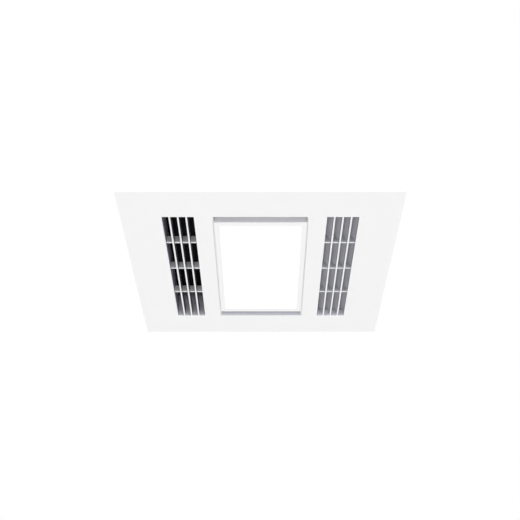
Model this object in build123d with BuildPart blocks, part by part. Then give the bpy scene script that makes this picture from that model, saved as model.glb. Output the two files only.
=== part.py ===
from build123d import *
from math import cos, pi, radians, sin, sqrt, tan
import os

# Ceiling heater, fan and light, 400 mm square. The ceiling's underside is z = 0, and z goes up into the roof.
# Lengths are in millimetres and angles in degrees.

# Clearances shared by the fits
fit_gap = 0.3
running_gap = 0.05
sheet = 1.0
cut_margin = 1.0
screw_tip = 1.0

# Fascia
fascia_side = 400.0
fascia_height = 6.0
fascia_skin = 2.4
fascia_rim = 2.5
fascia_corner = 1.2
fascia_round = 0.6
stiffener_width = 1.6
stiffener_height = 2.0
stiffener_pitch = 44.0

# Grilles and the collars behind them
slot_width = 9.7
slot_count = 4
rib_width = 2.37
cross_rib_count = 3
cross_rib_width = 3.3
cross_rib_recess = 4.7
rib_depth = 15.4
grille_x = 118.0
opening_length = 283.0
collar_wall = 1.8
collar_depth = 31.8
intake_end_depth = 47.5

# Slanted blades over the outlet slots
outlet_rib_depth = 8.5
blade_angle = 52.0
blade_thickness = 1.6
blade_rise = 15.5
blade_room = 9.0
louvre_end_wall = 1.8
louvre_hook = 1.0
louvre_hook_width = 12.0
louvre_hook_height = 3.0
louvre_hook_level = 14.0
louvre_window_gap = 1.0

# Light
light_opening_width = 138.0
panel_width = 134.4
light_end_gap = 13.6
panel_corner = 1.5
panel_wall = 1.8
panel_lip = 1.6
light_depth = 14.0
panel_rim = 7.2
panel_end_rim = 8.4
ledge_depth = 2.5
diffuser_flange = 1.4
diffuser_set_back = 0.3
reflector_sheet = 0.8
reflector_draw = 6.0
board_thickness = 1.6
emitter_size = 3.0
emitter_height = 0.8
emitter_columns = 4
emitter_rows = 9
light_back_sheet = 1.2
pocket_wall = 2.0
pocket_floor = 2.0
light_boss = 9.0
light_wire_hole = 5.0

# Fascia clips, bent from spring strip
clip_x = 45.0
clip_width = 12.0
clip_sheet = 0.6
clip_lug_width = 16.0
clip_lug_thickness = 2.6
clip_lug_height = 24.0
clip_top = 22.0
clip_hump_level = 11.0
clip_hump_reach = 0.9
clip_tail = 7.0
clip_window_height = 14.0
clip_window_gap = 1.0
clip_foot_gap = 1.0
clip_bend = 1.0

# Housing
housing_room = 6.9
roof_gap = 5.5
housing_bend = 2.0
flange_width = 25.0
fixing_inset = 7.0
fixing_y = 120.0
fixing_hole = 5.2
bead_depth = 1.5
bead_width = 9.0
bead_pitch = 54.0
bead_count = 3
bead_margin = 27.0
vent_slot_length = 40.0
vent_slot_width = 4.0
vent_slot_count = 5
vent_slot_pitch = 9.0

# Fan deck and inlet
deck_level = 60.0
deck_lip = 12.0
inlet_radius = 42.0
inlet_flange_radius = 58.0
inlet_flange = 1.6
inlet_wall = 1.6
inlet_round = 8.0
inlet_screw_radius = 54.5
inlet_screw_count = 3

# Fan
fan_x = -45.0
impeller_radius = 60.0
impeller_height = 50.0
impeller_eye = 46.0
impeller_gap = 6.0
blade_count = 36
blade_sheet = 1.0
blade_chord = 10.0
blade_lean = 5.0
blade_sag = 2.8
ring_height = 3.0
back_plate = 1.6
hub_radius = 9.0
hub_height = 16.0
hub_draft = 4.0
nut_radius = 7.2
nut_height = 6.4
scroll_growth = 13.0
scroll_gap = 5.0
scroll_wall = 2.0
scroll_height = 65.0
tongue_offset = 30.0
tongue_round = 5.0
scroll_foot_radius = 7.0
motor_hole_radius = 13.0

# Motor
motor_radius = 42.0
shell_sheet = 1.2
shell_height = 12.5
stator_height = 10.0
stator_bore = 25.5
rotor_gap = 0.5
rotor_height = 14.0
shaft_radius = 4.0
bearing_radius = 7.0
bearing_length = 8.0
motor_plate_sheet = 1.5
bush_radius = 6.0
bush_height = 7.0
bush_pitch = 49.0
bush_count = 3
motor_screw_pitch = 35.0
motor_screw_count = 4
motor_screw_angle = 45.0
motor_plate_rim = 2.0
shell_slot_count = 8
shell_slot_length = 14.0
shell_slot_width = 3.0
shaft_end_gap = 1.0
shaft_chamfer = 0.6

# Outlet duct, heater and changeover damper
duct_left = 90.0
duct_seal = 1.5
duct_top_gap = 1.0
heater_level = 31.0
heater_height = 15.0
heater_length = 200.0
heater_cap_length = 18.0
heater_end_gap = 2.0
heater_cap_wall = 1.0
element_insert = 6.0
element_width = 5.5
element_count = 3
fin_width = 8.0
fin_pitch = 5.0
fin_sheet = 0.4
shelf_depth = 12.0
terminal_width = 6.3
terminal_sheet = 0.8
terminal_length = 11.0
terminal_root = 3.5
terminal_pitch = 4.5
cutout_radius = 7.0
cutout_height = 8.0
cutout_ear_length = 28.0
damper_level = 54.0
damper_shaft_radius = 3.0
damper_knuckle = 1.2
damper_bush_wall = 1.35
damper_bush_flange = 1.0
damper_bush_rim = 1.5
damper_sheet = 1.2
damper_fold_gap = 0.4
damper_wall_gap = 5.0
damper_end_gap = 1.5
stop_width = 3.0
gear_motor_radius = 14.0
gear_motor_length = 18.0
gear_motor_offset = 8.5
gear_motor_ear = 17.5
gear_motor_ear_sheet = 1.5
gear_motor_ear_width = 6.0
gear_motor_chamfer = 1.0

# Exhaust
exhaust_width = 168.0
exhaust_height = 44.0
exhaust_level = 63.0
exhaust_seal_width = 4.0
exhaust_seal_thickness = 2.0
spigot_radius = 49.0
spigot_wall = 2.0
spigot_flange = 2.0
spigot_flange_width = 12.0
spigot_taper_length = 32.0
spigot_length = 50.0
spigot_bead = 1.0
leaf_setback = 12.0
leaf_sheet = 1.0
leaf_gap = 0.7
leaf_pin_radius = 1.5
leaf_knuckle = 1.0
leaf_stop = 2.5

# Supply box on top
supply_x = -95.0
supply_y = 95.0
supply_length = 92.0
supply_width = 70.0
supply_height = 34.0
supply_wall = 2.0
supply_lid = 2.2
supply_lid_round = 1.0
supply_boss_radius = 3.2
supply_boss_inset = 2.0
wire_hole = 7.0
gland_radius = 10.0
gland_bore = 5.5
gland_nut = 13.0
gland_outside = 22.0
gland_nut_height = 5.5
gland_cap_rim = 1.0
gland_round = 2.0
gland_plate_width = 44.0
gland_rail_width = 2.0
gland_rail_sheet = 1.2
block_poles = 5
block_pitch = 11.0
block_width = 24.0
block_height = 14.0
block_groove = 2.0
block_step = 2.0
block_screw_radius = 2.0
block_shift = 4.0
block_wall_gap = 2.0
capacitor_radius = 12.0
capacitor_length = 42.0
capacitor_gap = 12.0
capacitor_round = 1.0
strap_sheet = 0.8
strap_width = 10.0

# LED driver, on the back of the light pocket
driver_x = 40.0
driver_width = 44.0
driver_length = 150.0
driver_height = 23.0
driver_ear = 12.0
driver_ear_sheet = 2.0
driver_corner = 3.0
driver_chamfer = 1.0

# Screws
screw_radius = 1.5
screw_head_radius = 2.9
screw_head_height = 2.0
screw_hole_gap = 0.2

# Levels and places worked out from the values above
face_z = -fascia_height
skin_z = face_z + fascia_skin
collar_top = face_z + collar_depth
slot_pitch = slot_width + rib_width
field_width = slot_count * slot_width + (slot_count - 1) * rib_width
row_pitch = opening_length / (cross_rib_count + 1)
outlet_rib_top = face_z + outlet_rib_depth
outlet_left = grille_x - field_width / 2 - blade_room
outlet_right = grille_x + field_width / 2 + rib_width + fit_gap
outlet_x = (outlet_left + outlet_right) / 2
outlet_width = outlet_right - outlet_left
panel_length = opening_length - 2 * light_end_gap
window_width = panel_width - 2 * panel_rim
window_length = panel_length - 2 * panel_end_rim
panel_back = face_z + light_depth
pocket_depth = light_depth + light_back_sheet
pocket_top = face_z + pocket_depth + pocket_floor
pocket_end = opening_length / 2 + pocket_wall
clip_lug_face = pocket_end + clip_lug_thickness
housing_wall = max(clip_lug_face, outlet_right + collar_wall) + housing_room
housing_side = 2 * housing_wall
housing_inside = housing_wall - sheet
flange_side = housing_side + 2 * flange_width
fixing_x = flange_side / 2 - fixing_inset
deck_top = deck_level + sheet
impeller_bottom = deck_top + impeller_gap
impeller_top = impeller_bottom + impeller_height
spiral_radius = impeller_radius + scroll_gap + scroll_growth / 2
scroll_top = deck_top + scroll_height
outlet_high = scroll_growth / 2 + spiral_radius + 2 * scroll_growth
fan_y = -(tongue_offset + outlet_high) / 2
duct_right = housing_inside - sheet - 2 * fit_gap
duct_bottom = collar_top + duct_seal
duct_top = scroll_top + duct_top_gap
duct_end = heater_length / 2 + heater_cap_length + heater_end_gap
plate_z = scroll_top + bush_height
shell_z = plate_z + motor_plate_sheet
stator_z = shell_z + shell_height
motor_top = stator_z + stator_height + shell_height
housing_height = motor_top + roof_gap + sheet
fan_axis = Plane.XY.move(Location((fan_x, fan_y, 0)))
exhaust_z = exhaust_level + exhaust_height / 2
deck_screw_z = deck_level + deck_lip / 2
deck_screw_places = [(-housing_wall / 2, deck_screw_z), (housing_wall / 4, deck_screw_z)]
spigot_screw_y = exhaust_width / 2 + spigot_flange_width / 2
spigot_screw_z = exhaust_height / 3
supply_screw_places = [(supply_x - supply_length / 4, supply_y), (supply_x + supply_length / 4, supply_y)]
capacitor_y = supply_y - supply_width / 2 - capacitor_gap - capacitor_radius
strap_foot = capacitor_radius + fit_gap + strap_sheet
strap_screw_y = strap_foot + strap_width / 2
strap_screw_places = [(supply_x, capacitor_y - strap_screw_y), (supply_x, capacitor_y + strap_screw_y)]
wire_x = supply_x + supply_length / 2 - 2 * supply_wall - wire_hole
wire_y = supply_y + supply_width / 2 - 2 * supply_wall - wire_hole


def block(x_span, y_span, z_span, mode=Mode.ADD):
    """Add or cut a block between two values along each axis."""
    spans = (x_span, y_span, z_span)
    middle = tuple((low + high) / 2 for low, high in spans)
    size = tuple(high - low for low, high in spans)
    with Locations(middle):
        Box(*size, mode=mode)


def pan_screw(length):
    """A pan-head screw at the origin, its shank along -Z from under its head."""
    with BuildPart() as screw:
        with BuildSketch():
            Circle(screw_radius)
        extrude(amount=-length)
        with BuildSketch():
            Circle(screw_head_radius)
        extrude(amount=screw_head_height)
        fillet(screw.faces().sort_by(Axis.Z)[-1].edges(), radius=screw_head_height / 2)
    return screw.part


os.makedirs("parts", exist_ok=True)

# Fascia: one moulding with the face, both grilles, the collars behind them and the pocket of the light
with BuildPart() as fascia:
    with BuildSketch(Plane.XY.offset(face_z)):
        RectangleRounded(fascia_side, fascia_side, fascia_corner)
    extrude(amount=fascia_height)
    fillet(fascia.faces().sort_by(Axis.Z)[0].edges(), radius=fascia_round)
    with BuildSketch(Plane.XY.offset(skin_z)):
        Rectangle(fascia_side - 2 * fascia_rim, fascia_side - 2 * fascia_rim)
    extrude(amount=fascia_height - fascia_skin, mode=Mode.SUBTRACT)
    with BuildSketch(Plane.XY.offset(skin_z)):
        with GridLocations(0, stiffener_pitch, 1, int(fascia_side / stiffener_pitch)):
            Rectangle(fascia_side - 2 * fascia_rim, stiffener_width)
    extrude(amount=stiffener_height)
    with BuildSketch(Plane.XY.offset(face_z)):
        with Locations((-grille_x, 0)):
            Rectangle(field_width + 2 * collar_wall, opening_length + 2 * collar_wall)
        with Locations((outlet_x, 0)):
            Rectangle(outlet_width + 2 * collar_wall, opening_length + 2 * collar_wall)
    extrude(amount=collar_depth)
    with BuildSketch(Plane.XY.offset(face_z)):
        Rectangle(light_opening_width + 2 * pocket_wall, 2 * pocket_end)
    extrude(amount=pocket_top - face_z)
    with BuildSketch(Plane.XY.offset(face_z)):
        Rectangle(light_opening_width, opening_length)
    extrude(amount=pocket_depth, mode=Mode.SUBTRACT)
    with BuildSketch(Plane.XY.offset(face_z)):
        with Locations((-grille_x, 0)):
            Rectangle(field_width, opening_length)
    extrude(amount=collar_depth, mode=Mode.SUBTRACT)
    with BuildSketch(Plane.XY.offset(face_z)):
        with Locations((grille_x, 0)):
            Rectangle(field_width, opening_length)
    extrude(amount=fascia_skin, mode=Mode.SUBTRACT)
    with BuildSketch(Plane.XY.offset(skin_z)):
        with Locations((outlet_x, 0)):
            Rectangle(outlet_width, opening_length)
    extrude(amount=collar_depth - fascia_skin, mode=Mode.SUBTRACT)
    # End walls of the intake collar stand higher and lead the air up to the fan
    end_x = (-grille_x - field_width / 2 - collar_wall, collar_wall + field_width / 2 - grille_x)
    for side in (-1, 1):
        end_y = sorted((side * opening_length / 2, side * (opening_length / 2 + collar_wall)))
        block(end_x, end_y, (skin_z, face_z + intake_end_depth))
    # Ribs along the intake slots, and those across them, set back from the face
    with BuildSketch(Plane.XY.offset(face_z)):
        with Locations((-grille_x, 0)):
            with GridLocations(slot_pitch, 0, slot_count - 1, 1):
                Rectangle(rib_width, opening_length)
    extrude(amount=rib_depth)
    with BuildSketch(Plane.XY.offset(face_z + cross_rib_recess)):
        with Locations((-grille_x, 0)):
            with GridLocations(0, row_pitch, 1, cross_rib_count):
                Rectangle(field_width, cross_rib_width)
    extrude(amount=rib_depth - cross_rib_recess)
    # Lower ribs along the outlet slots, which carry the blades
    with BuildSketch(Plane.XY.offset(face_z)):
        with Locations((grille_x, 0)):
            with GridLocations(slot_pitch, 0, slot_count + 1, 1):
                Rectangle(rib_width, opening_length)
    extrude(amount=outlet_rib_depth)
    # Ribs across the outlet slots rise in teeth to the slant of the blades
    tooth_high = outlet_rib_top + slot_width * tan(radians(blade_angle)) - fit_gap
    for row in range(cross_rib_count):
        row_y = (row - (cross_rib_count - 1) / 2) * row_pitch
        with BuildSketch(Plane.XZ.offset(-row_y - cross_rib_width / 2)):
            for slot in range(slot_count):
                slot_left = grille_x - field_width / 2 + slot * slot_pitch
                slot_right = slot_left + slot_width
                with BuildLine():
                    Polyline(
                        (slot_left, face_z + cross_rib_recess),
                        (slot_right, face_z + cross_rib_recess),
                        (slot_right, outlet_rib_top - fit_gap),
                        (slot_left, tooth_high),
                        close=True,
                    )
                make_face()
        extrude(amount=cross_rib_width)
    # Windows for the hooks of the louvre
    hook_z = face_z + louvre_hook_level
    louvre_window_width = louvre_hook_width + 2 * louvre_window_gap
    for side in (-1, 1):
        window_y = sorted((side * (opening_length / 2 - cut_margin), side * (pocket_end + cut_margin)))
        block(
            (outlet_x - louvre_window_width / 2, outlet_x + louvre_window_width / 2),
            window_y,
            (hook_z - fit_gap, hook_z + louvre_hook_height + fit_gap),
            mode=Mode.SUBTRACT,
        )
    # Lugs that carry the spring clips
    for side in (-1, 1):
        for x in (-clip_x, clip_x):
            lug_y = sorted((side * (pocket_end - pocket_wall / 2), side * clip_lug_face))
            lug_x = (x - clip_lug_width / 2, x + clip_lug_width / 2)
            block(lug_x, lug_y, (skin_z - fascia_skin / 2, face_z + clip_lug_height))
    # The lugs stay out of the light pocket
    with BuildSketch(Plane.XY.offset(face_z)):
        Rectangle(light_opening_width, opening_length)
    extrude(amount=pocket_depth, mode=Mode.SUBTRACT)
    # Ledges behind the face that close the gaps along both sides of the light
    for side in (-1, 1):
        ledge_x = sorted((side * (panel_width / 2 + fit_gap), side * (light_opening_width / 2 + pocket_wall)))
        block(ledge_x, (-opening_length / 2, opening_length / 2), (face_z + ledge_depth, panel_back))
    # Screw holes and wire hole in the pocket floor
    light_screw_x = panel_width / 2 - panel_wall - light_boss / 2
    light_screw_y = panel_length / 2 - panel_wall - light_boss / 2
    light_screw_hole = screw_radius + screw_hole_gap
    driver_screw_y = driver_length / 2 + driver_ear / 2
    with BuildSketch(Plane.XY.offset(pocket_top)):
        with GridLocations(2 * light_screw_x, 2 * light_screw_y, 2, 2):
            Circle(light_screw_hole)
        Circle(light_wire_hole)
        with Locations((driver_x, -driver_screw_y), (driver_x, driver_screw_y)):
            Circle(screw_radius + running_gap)
    extrude(amount=-pocket_floor, mode=Mode.SUBTRACT)
fascia.part.label = "fascia"
export_step(fascia.part, "parts/fascia.step")

# Louvre: slanted blades between two end walls, hooked into the outlet collar on top of its ribs
louvre_half = opening_length / 2 - fit_gap
louvre_top = outlet_rib_top + blade_rise
blade_run = blade_rise / tan(radians(blade_angle))
blade_foot = blade_thickness / sin(radians(blade_angle))
with BuildPart() as outlet_louvre:
    with BuildSketch(Plane.XZ.offset(-louvre_half)):
        for slot in range(slot_count):
            foot_left = grille_x - field_width / 2 + slot * slot_pitch + slot_width
            with BuildLine():
                Polyline(
                    (foot_left, outlet_rib_top),
                    (foot_left + blade_foot, outlet_rib_top),
                    (foot_left + blade_foot - blade_run, louvre_top),
                    (foot_left - blade_run, louvre_top),
                    close=True,
                )
            make_face()
    extrude(amount=2 * louvre_half)
    for side in (-1, 1):
        wall_y = sorted((side * (louvre_half - louvre_end_wall), side * louvre_half))
        wall_x = (outlet_left + fit_gap, outlet_right - fit_gap)
        block(wall_x, wall_y, (outlet_rib_top, louvre_top))
        hook_x = (outlet_x - louvre_hook_width / 2, outlet_x + louvre_hook_width / 2)
        hook_y = sorted((side * (louvre_half - louvre_end_wall), side * (louvre_half + louvre_hook)))
        block(hook_x, hook_y, (hook_z, hook_z + louvre_hook_height))
outlet_louvre.part.label = "outlet_louvre"
export_step(outlet_louvre.part, "parts/outlet_louvre.step")

# Light frame: white rim with four screw bosses in its corners
with BuildPart() as light_frame:
    with BuildSketch(Plane.XY.offset(face_z)):
        RectangleRounded(panel_width, panel_length, panel_corner)
    extrude(amount=light_depth)
    fillet(light_frame.faces().sort_by(Axis.Z)[0].edges(), radius=panel_lip / 4)
    with BuildSketch(Plane.XY.offset(face_z + panel_lip)):
        Rectangle(panel_width - 2 * panel_wall, panel_length - 2 * panel_wall)
    extrude(amount=light_depth - panel_lip, mode=Mode.SUBTRACT)
    with BuildSketch(Plane.XY.offset(face_z)):
        Rectangle(window_width, window_length)
    extrude(amount=panel_lip, mode=Mode.SUBTRACT)
    with BuildSketch(Plane.XY.offset(face_z + panel_lip)):
        with GridLocations(2 * light_screw_x, 2 * light_screw_y, 2, 2):
            Rectangle(light_boss, light_boss)
    extrude(amount=light_depth - panel_lip)
    with BuildSketch(Plane.XY.offset(panel_back)):
        with GridLocations(2 * light_screw_x, 2 * light_screw_y, 2, 2):
            Circle(screw_radius + running_gap)
    extrude(amount=panel_lip - light_depth, mode=Mode.SUBTRACT)
light_frame.part.label = "light_frame"
export_step(light_frame.part, "parts/light_frame.step")

# Diffuser: opal sheet with a raised land that fills the window of the frame
diffuser_z = face_z + panel_lip
diffuser_top = diffuser_z + diffuser_flange
inside_width = panel_width - 2 * panel_wall
inside_length = panel_length - 2 * panel_wall
with BuildPart() as light_diffuser:
    with BuildSketch(Plane.XY.offset(diffuser_z)):
        Rectangle(inside_width - 2 * fit_gap, inside_length - 2 * fit_gap)
        with GridLocations(2 * light_screw_x, 2 * light_screw_y, 2, 2):
            Rectangle(light_boss + 2 * fit_gap, light_boss + 2 * fit_gap, mode=Mode.SUBTRACT)
    extrude(amount=diffuser_flange)
    with BuildSketch(Plane.XY.offset(face_z + diffuser_set_back)):
        Rectangle(window_width - 2 * running_gap, window_length - 2 * running_gap)
    extrude(amount=panel_lip - diffuser_set_back)
light_diffuser.part.label = "light_diffuser"
export_step(light_diffuser.part, "parts/light_diffuser.step")

# Reflector: white tray with slanted sides between the diffuser and the board
board_z = panel_back - board_thickness
board_width = inside_width - 2 * light_boss - 2 * fit_gap
board_length = inside_length - 2 * light_boss - 2 * fit_gap
tray_wide = board_width + 2 * reflector_draw
tray_long = board_length + 2 * reflector_draw
with BuildPart() as light_reflector:
    with BuildSketch(Plane.XY.offset(diffuser_top)):
        Rectangle(tray_wide, tray_long)
    with BuildSketch(Plane.XY.offset(board_z)):
        Rectangle(board_width, board_length)
    loft()
    with BuildSketch(Plane.XY.offset(diffuser_top)):
        Rectangle(tray_wide - 2 * reflector_sheet, tray_long - 2 * reflector_sheet)
    with BuildSketch(Plane.XY.offset(board_z)):
        Rectangle(board_width - 2 * reflector_sheet, board_length - 2 * reflector_sheet)
    loft(mode=Mode.SUBTRACT)
    with BuildSketch(Plane.XY.offset(diffuser_top)):
        with GridLocations(2 * light_screw_x, 2 * light_screw_y, 2, 2):
            Rectangle(light_boss + 2 * fit_gap, light_boss + 2 * fit_gap)
    extrude(amount=board_z - diffuser_top, mode=Mode.SUBTRACT)
light_reflector.part.label = "light_reflector"
export_step(light_reflector.part, "parts/light_reflector.step")

# LED board, with its emitters under it
with BuildPart() as led_board:
    with BuildSketch(Plane.XY.offset(board_z)):
        Rectangle(board_width, board_length)
        Circle(light_wire_hole, mode=Mode.SUBTRACT)
    extrude(amount=board_thickness)
led_board.part.label = "led_board"
export_step(led_board.part, "parts/led_board.step")

emitter_pitch_x = board_width / emitter_columns
emitter_pitch_y = board_length / emitter_rows
with BuildPart() as led_emitters:
    with BuildSketch(Plane.XY.offset(board_z)):
        with GridLocations(emitter_pitch_x, emitter_pitch_y, emitter_columns, emitter_rows):
            Rectangle(emitter_size, emitter_size)
    extrude(amount=-emitter_height)
led_emitters.part.label = "led_emitters"
export_step(led_emitters.part, "parts/led_emitters.step")

# Back plate of the light: pressed sheet under the pocket floor
with BuildPart() as light_back_plate:
    with BuildSketch(Plane.XY.offset(panel_back)):
        Rectangle(panel_width - 2 * fit_gap, panel_length - 2 * fit_gap)
        with GridLocations(2 * light_screw_x, 2 * light_screw_y, 2, 2):
            Circle(light_screw_hole, mode=Mode.SUBTRACT)
        Circle(light_wire_hole, mode=Mode.SUBTRACT)
    extrude(amount=light_back_sheet)
light_back_plate.part.label = "light_back_plate"
export_step(light_back_plate.part, "parts/light_back_plate.step")

light_screw_places = [
    (x, y, pocket_top) for x in (-light_screw_x, light_screw_x) for y in (-light_screw_y, light_screw_y)
]
light_screw = pan_screw(pocket_floor + light_back_sheet + light_depth / 2)
with BuildPart() as light_screws:
    with Locations(*light_screw_places):
        add(light_screw)
light_screws.part.label = "light_screws"
export_step(light_screws.part, "parts/light_screws.step")

# LED driver: closed case with an ear at each end, screwed to the pocket floor
with BuildPart() as led_driver:
    with BuildSketch(Plane.XY.offset(pocket_top)):
        with Locations((driver_x, 0)):
            Rectangle(driver_width, driver_length)
    extrude(amount=driver_height)
    fillet(led_driver.edges().filter_by(Axis.Z), radius=driver_corner)
    chamfer(led_driver.faces().sort_by(Axis.Z)[-1].edges(), length=driver_chamfer)
    with BuildSketch(Plane.XY.offset(pocket_top)):
        with Locations((driver_x, 0)):
            Rectangle(driver_width / 2, driver_length + 2 * driver_ear)
        with Locations((driver_x, -driver_screw_y), (driver_x, driver_screw_y)):
            Circle(screw_radius + screw_hole_gap, mode=Mode.SUBTRACT)
    extrude(amount=driver_ear_sheet)
led_driver.part.label = "led_driver"
export_step(led_driver.part, "parts/led_driver.step")

driver_places = [(driver_x, side * driver_screw_y, pocket_top + driver_ear_sheet) for side in (-1, 1)]
driver_screw = pan_screw(driver_ear_sheet + pocket_floor)
with BuildPart() as driver_screws:
    with Locations(*driver_places):
        add(driver_screw)
driver_screws.part.label = "driver_screws"
export_step(driver_screws.part, "parts/driver_screws.step")

# Clips: spring strip folded over, with a hump that snaps into a window of the housing
clip_face = clip_lug_face + clip_sheet / 2
hump_tip = housing_wall + clip_hump_reach - clip_sheet / 2
clip_fold = (clip_face + hump_tip) / 2
with BuildPart() as fascia_clips:
    for x in (-clip_x, clip_x):
        with BuildSketch(Plane.YZ.offset(x - clip_width / 2)):
            with BuildLine() as strip:
                FilletPolyline(
                    (clip_face, skin_z + clip_foot_gap),
                    (clip_face, clip_top),
                    (clip_fold, clip_top),
                    (hump_tip, clip_hump_level),
                    (clip_fold, clip_hump_level - clip_tail),
                    radius=clip_bend,
                )
            trace(line_width=clip_sheet)
        extrude(amount=clip_width)
    mirror(about=Plane.XZ)
fascia_clips.part.label = "fascia_clips"
export_step(fascia_clips.part, "parts/fascia_clips.step")

# Housing: four walls folded from one sheet, with windows for the clips and an opening for the exhaust
with BuildPart() as housing:
    with BuildSketch(Plane.XY.offset(-sheet)):
        RectangleRounded(housing_side, housing_side, housing_bend + sheet)
        RectangleRounded(2 * housing_inside, 2 * housing_inside, housing_bend, mode=Mode.SUBTRACT)
    extrude(amount=housing_height)
    # Exhaust opening in the right wall
    with BuildSketch(Plane.YZ.offset(housing_inside - cut_margin)):
        with Locations((0, exhaust_z)):
            Rectangle(exhaust_width, exhaust_height)
    extrude(amount=sheet + 2 * cut_margin, mode=Mode.SUBTRACT)
    # Windows for the fascia clips
    with BuildSketch(Plane.XZ.offset(-housing_wall - cut_margin)):
        with Locations((-clip_x, clip_hump_level), (clip_x, clip_hump_level)):
            Rectangle(clip_width + 2 * clip_window_gap, clip_window_height)
    extrude(amount=housing_side + 2 * cut_margin, mode=Mode.SUBTRACT)
    # Cooling slots beside the motor
    with BuildSketch(Plane.XZ.offset(housing_inside - cut_margin)):
        with Locations((fan_x, (plate_z + motor_top) / 2)):
            with GridLocations(0, vent_slot_pitch, 1, vent_slot_count):
                SlotOverall(vent_slot_length, vent_slot_width)
    extrude(amount=sheet + 2 * cut_margin, mode=Mode.SUBTRACT)
    # Screw holes for the deck and the spigot
    with BuildSketch(Plane.XZ.offset(-housing_wall - cut_margin)):
        with Locations(*deck_screw_places):
            Circle(screw_radius + screw_hole_gap)
    extrude(amount=housing_side + 2 * cut_margin, mode=Mode.SUBTRACT)
    with BuildSketch(Plane.YZ.offset(housing_inside - cut_margin)):
        with Locations((0, exhaust_z)):
            with GridLocations(2 * spigot_screw_y, 2 * spigot_screw_z, 2, 2):
                Circle(screw_radius + screw_hole_gap)
    extrude(amount=sheet + 2 * cut_margin, mode=Mode.SUBTRACT)
housing.part.label = "housing"
export_step(housing.part, "parts/housing.step")

# Top of the housing: pressed sheet with raised beads, welded on the walls
with BuildPart() as housing_top:
    with BuildSketch(Plane.XY.offset(housing_height - sheet)):
        RectangleRounded(housing_side, housing_side, housing_bend + sheet)
    extrude(amount=sheet)
    fillet(housing_top.faces().sort_by(Axis.Z)[-1].edges(), radius=sheet / 2)
    with BuildSketch(Plane.XY.offset(housing_height)):
        with Locations((housing_wall / 2, 0)):
            with GridLocations(bead_pitch, 0, bead_count, 1):
                SlotOverall(housing_side - 2 * bead_margin, bead_width, rotation=90)
    extrude(amount=bead_depth)
    fillet(housing_top.faces().sort_by(Axis.Z)[-bead_count:].edges(), radius=bead_depth / 2)
    # Wire hole under the supply box, and the screw holes of the box and the strap
    with BuildSketch(Plane.XY.offset(housing_height)):
        with Locations((wire_x, wire_y)):
            Circle(wire_hole)
        with Locations(*supply_screw_places, *strap_screw_places):
            Circle(screw_radius + running_gap)
    extrude(amount=-sheet, mode=Mode.SUBTRACT)
housing_top.part.label = "housing_top"
export_step(housing_top.part, "parts/housing_top.step")

# Ceiling flange: flat frame round the foot of the walls, tacked to them and screwed up to the joists
with BuildPart() as ceiling_flange:
    with BuildSketch(Plane.XY):
        Rectangle(flange_side, flange_side)
        flange_opening = housing_side + 2 * fit_gap
        RectangleRounded(flange_opening, flange_opening, housing_bend + sheet, mode=Mode.SUBTRACT)
        with GridLocations(2 * fixing_x, 2 * fixing_y, 2, 2):
            Circle(fixing_hole / 2, mode=Mode.SUBTRACT)
    extrude(amount=-sheet)
ceiling_flange.part.label = "ceiling_flange"
export_step(ceiling_flange.part, "parts/ceiling_flange.step")

# Feet of the scroll: one at the middle of each quarter turn, and two beside the outlet
turn = scroll_growth / 2
mouth_x = duct_left - fit_gap
tongue_y = fan_y + tongue_offset
foot_reach = scroll_wall + scroll_foot_radius / 2
scroll_feet = []
for quarter, (centre_x, centre_y) in enumerate([(-turn, -turn), (-turn, turn), (turn, turn)]):
    foot_angle = radians(-45 - 90 * quarter)
    foot_radius = spiral_radius + quarter * scroll_growth + foot_reach
    foot_x = fan_x + centre_x + foot_radius * cos(foot_angle)
    foot_y = fan_y + centre_y + foot_radius * sin(foot_angle)
    scroll_feet.append((foot_x, foot_y))
scroll_feet.append((mouth_x - 3 * scroll_foot_radius, tongue_y - foot_reach))
scroll_feet.append((mouth_x - 3 * scroll_foot_radius, fan_y + outlet_high + foot_reach))

# Fan deck: sheet shelf with folded edges that carries the fan and shuts the fan side from the room side
deck_right = duct_left - sheet - fit_gap
deck_reach = housing_inside - fit_gap
with BuildPart() as fan_deck:
    with BuildSketch(Plane.XY.offset(deck_level)):
        with Locations(((deck_right - deck_reach) / 2, 0)):
            Rectangle(deck_right + deck_reach, 2 * deck_reach)
        with Locations((fan_x, fan_y)):
            Circle(inlet_radius + inlet_wall + inlet_round + fit_gap, mode=Mode.SUBTRACT)
    extrude(amount=sheet)
    for side in (-1, 1):
        lip_y = sorted((side * (deck_reach - sheet), side * deck_reach))
        block((-deck_reach, deck_right), lip_y, (deck_level, deck_level + deck_lip))
    block((-deck_reach, sheet - deck_reach), (-deck_reach, deck_reach), (deck_level, deck_level + deck_lip))
    # Corners relieved for the bends of the housing
    relief = housing_bend + sheet
    for side in (-1, 1):
        corner_x = (-deck_reach - cut_margin, relief - deck_reach)
        corner_y = sorted((side * (deck_reach - relief), side * (deck_reach + cut_margin)))
        block(corner_x, corner_y, (deck_level, deck_level + deck_lip), mode=Mode.SUBTRACT)
    # Screw holes in the folded edges and under the feet of the scroll
    with BuildSketch(Plane.XZ.offset(-housing_wall)):
        with Locations(*deck_screw_places):
            Circle(screw_radius + running_gap)
    extrude(amount=housing_side, mode=Mode.SUBTRACT)
    with BuildSketch(Plane.XY.offset(deck_level)):
        with Locations(*scroll_feet):
            Circle(screw_radius + running_gap)
        with Locations((fan_x, fan_y)):
            with PolarLocations(inlet_screw_radius, inlet_screw_count):
                Circle(screw_radius + running_gap)
    extrude(amount=sheet, mode=Mode.SUBTRACT)
fan_deck.part.label = "fan_deck"
export_step(fan_deck.part, "parts/fan_deck.step")

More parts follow.
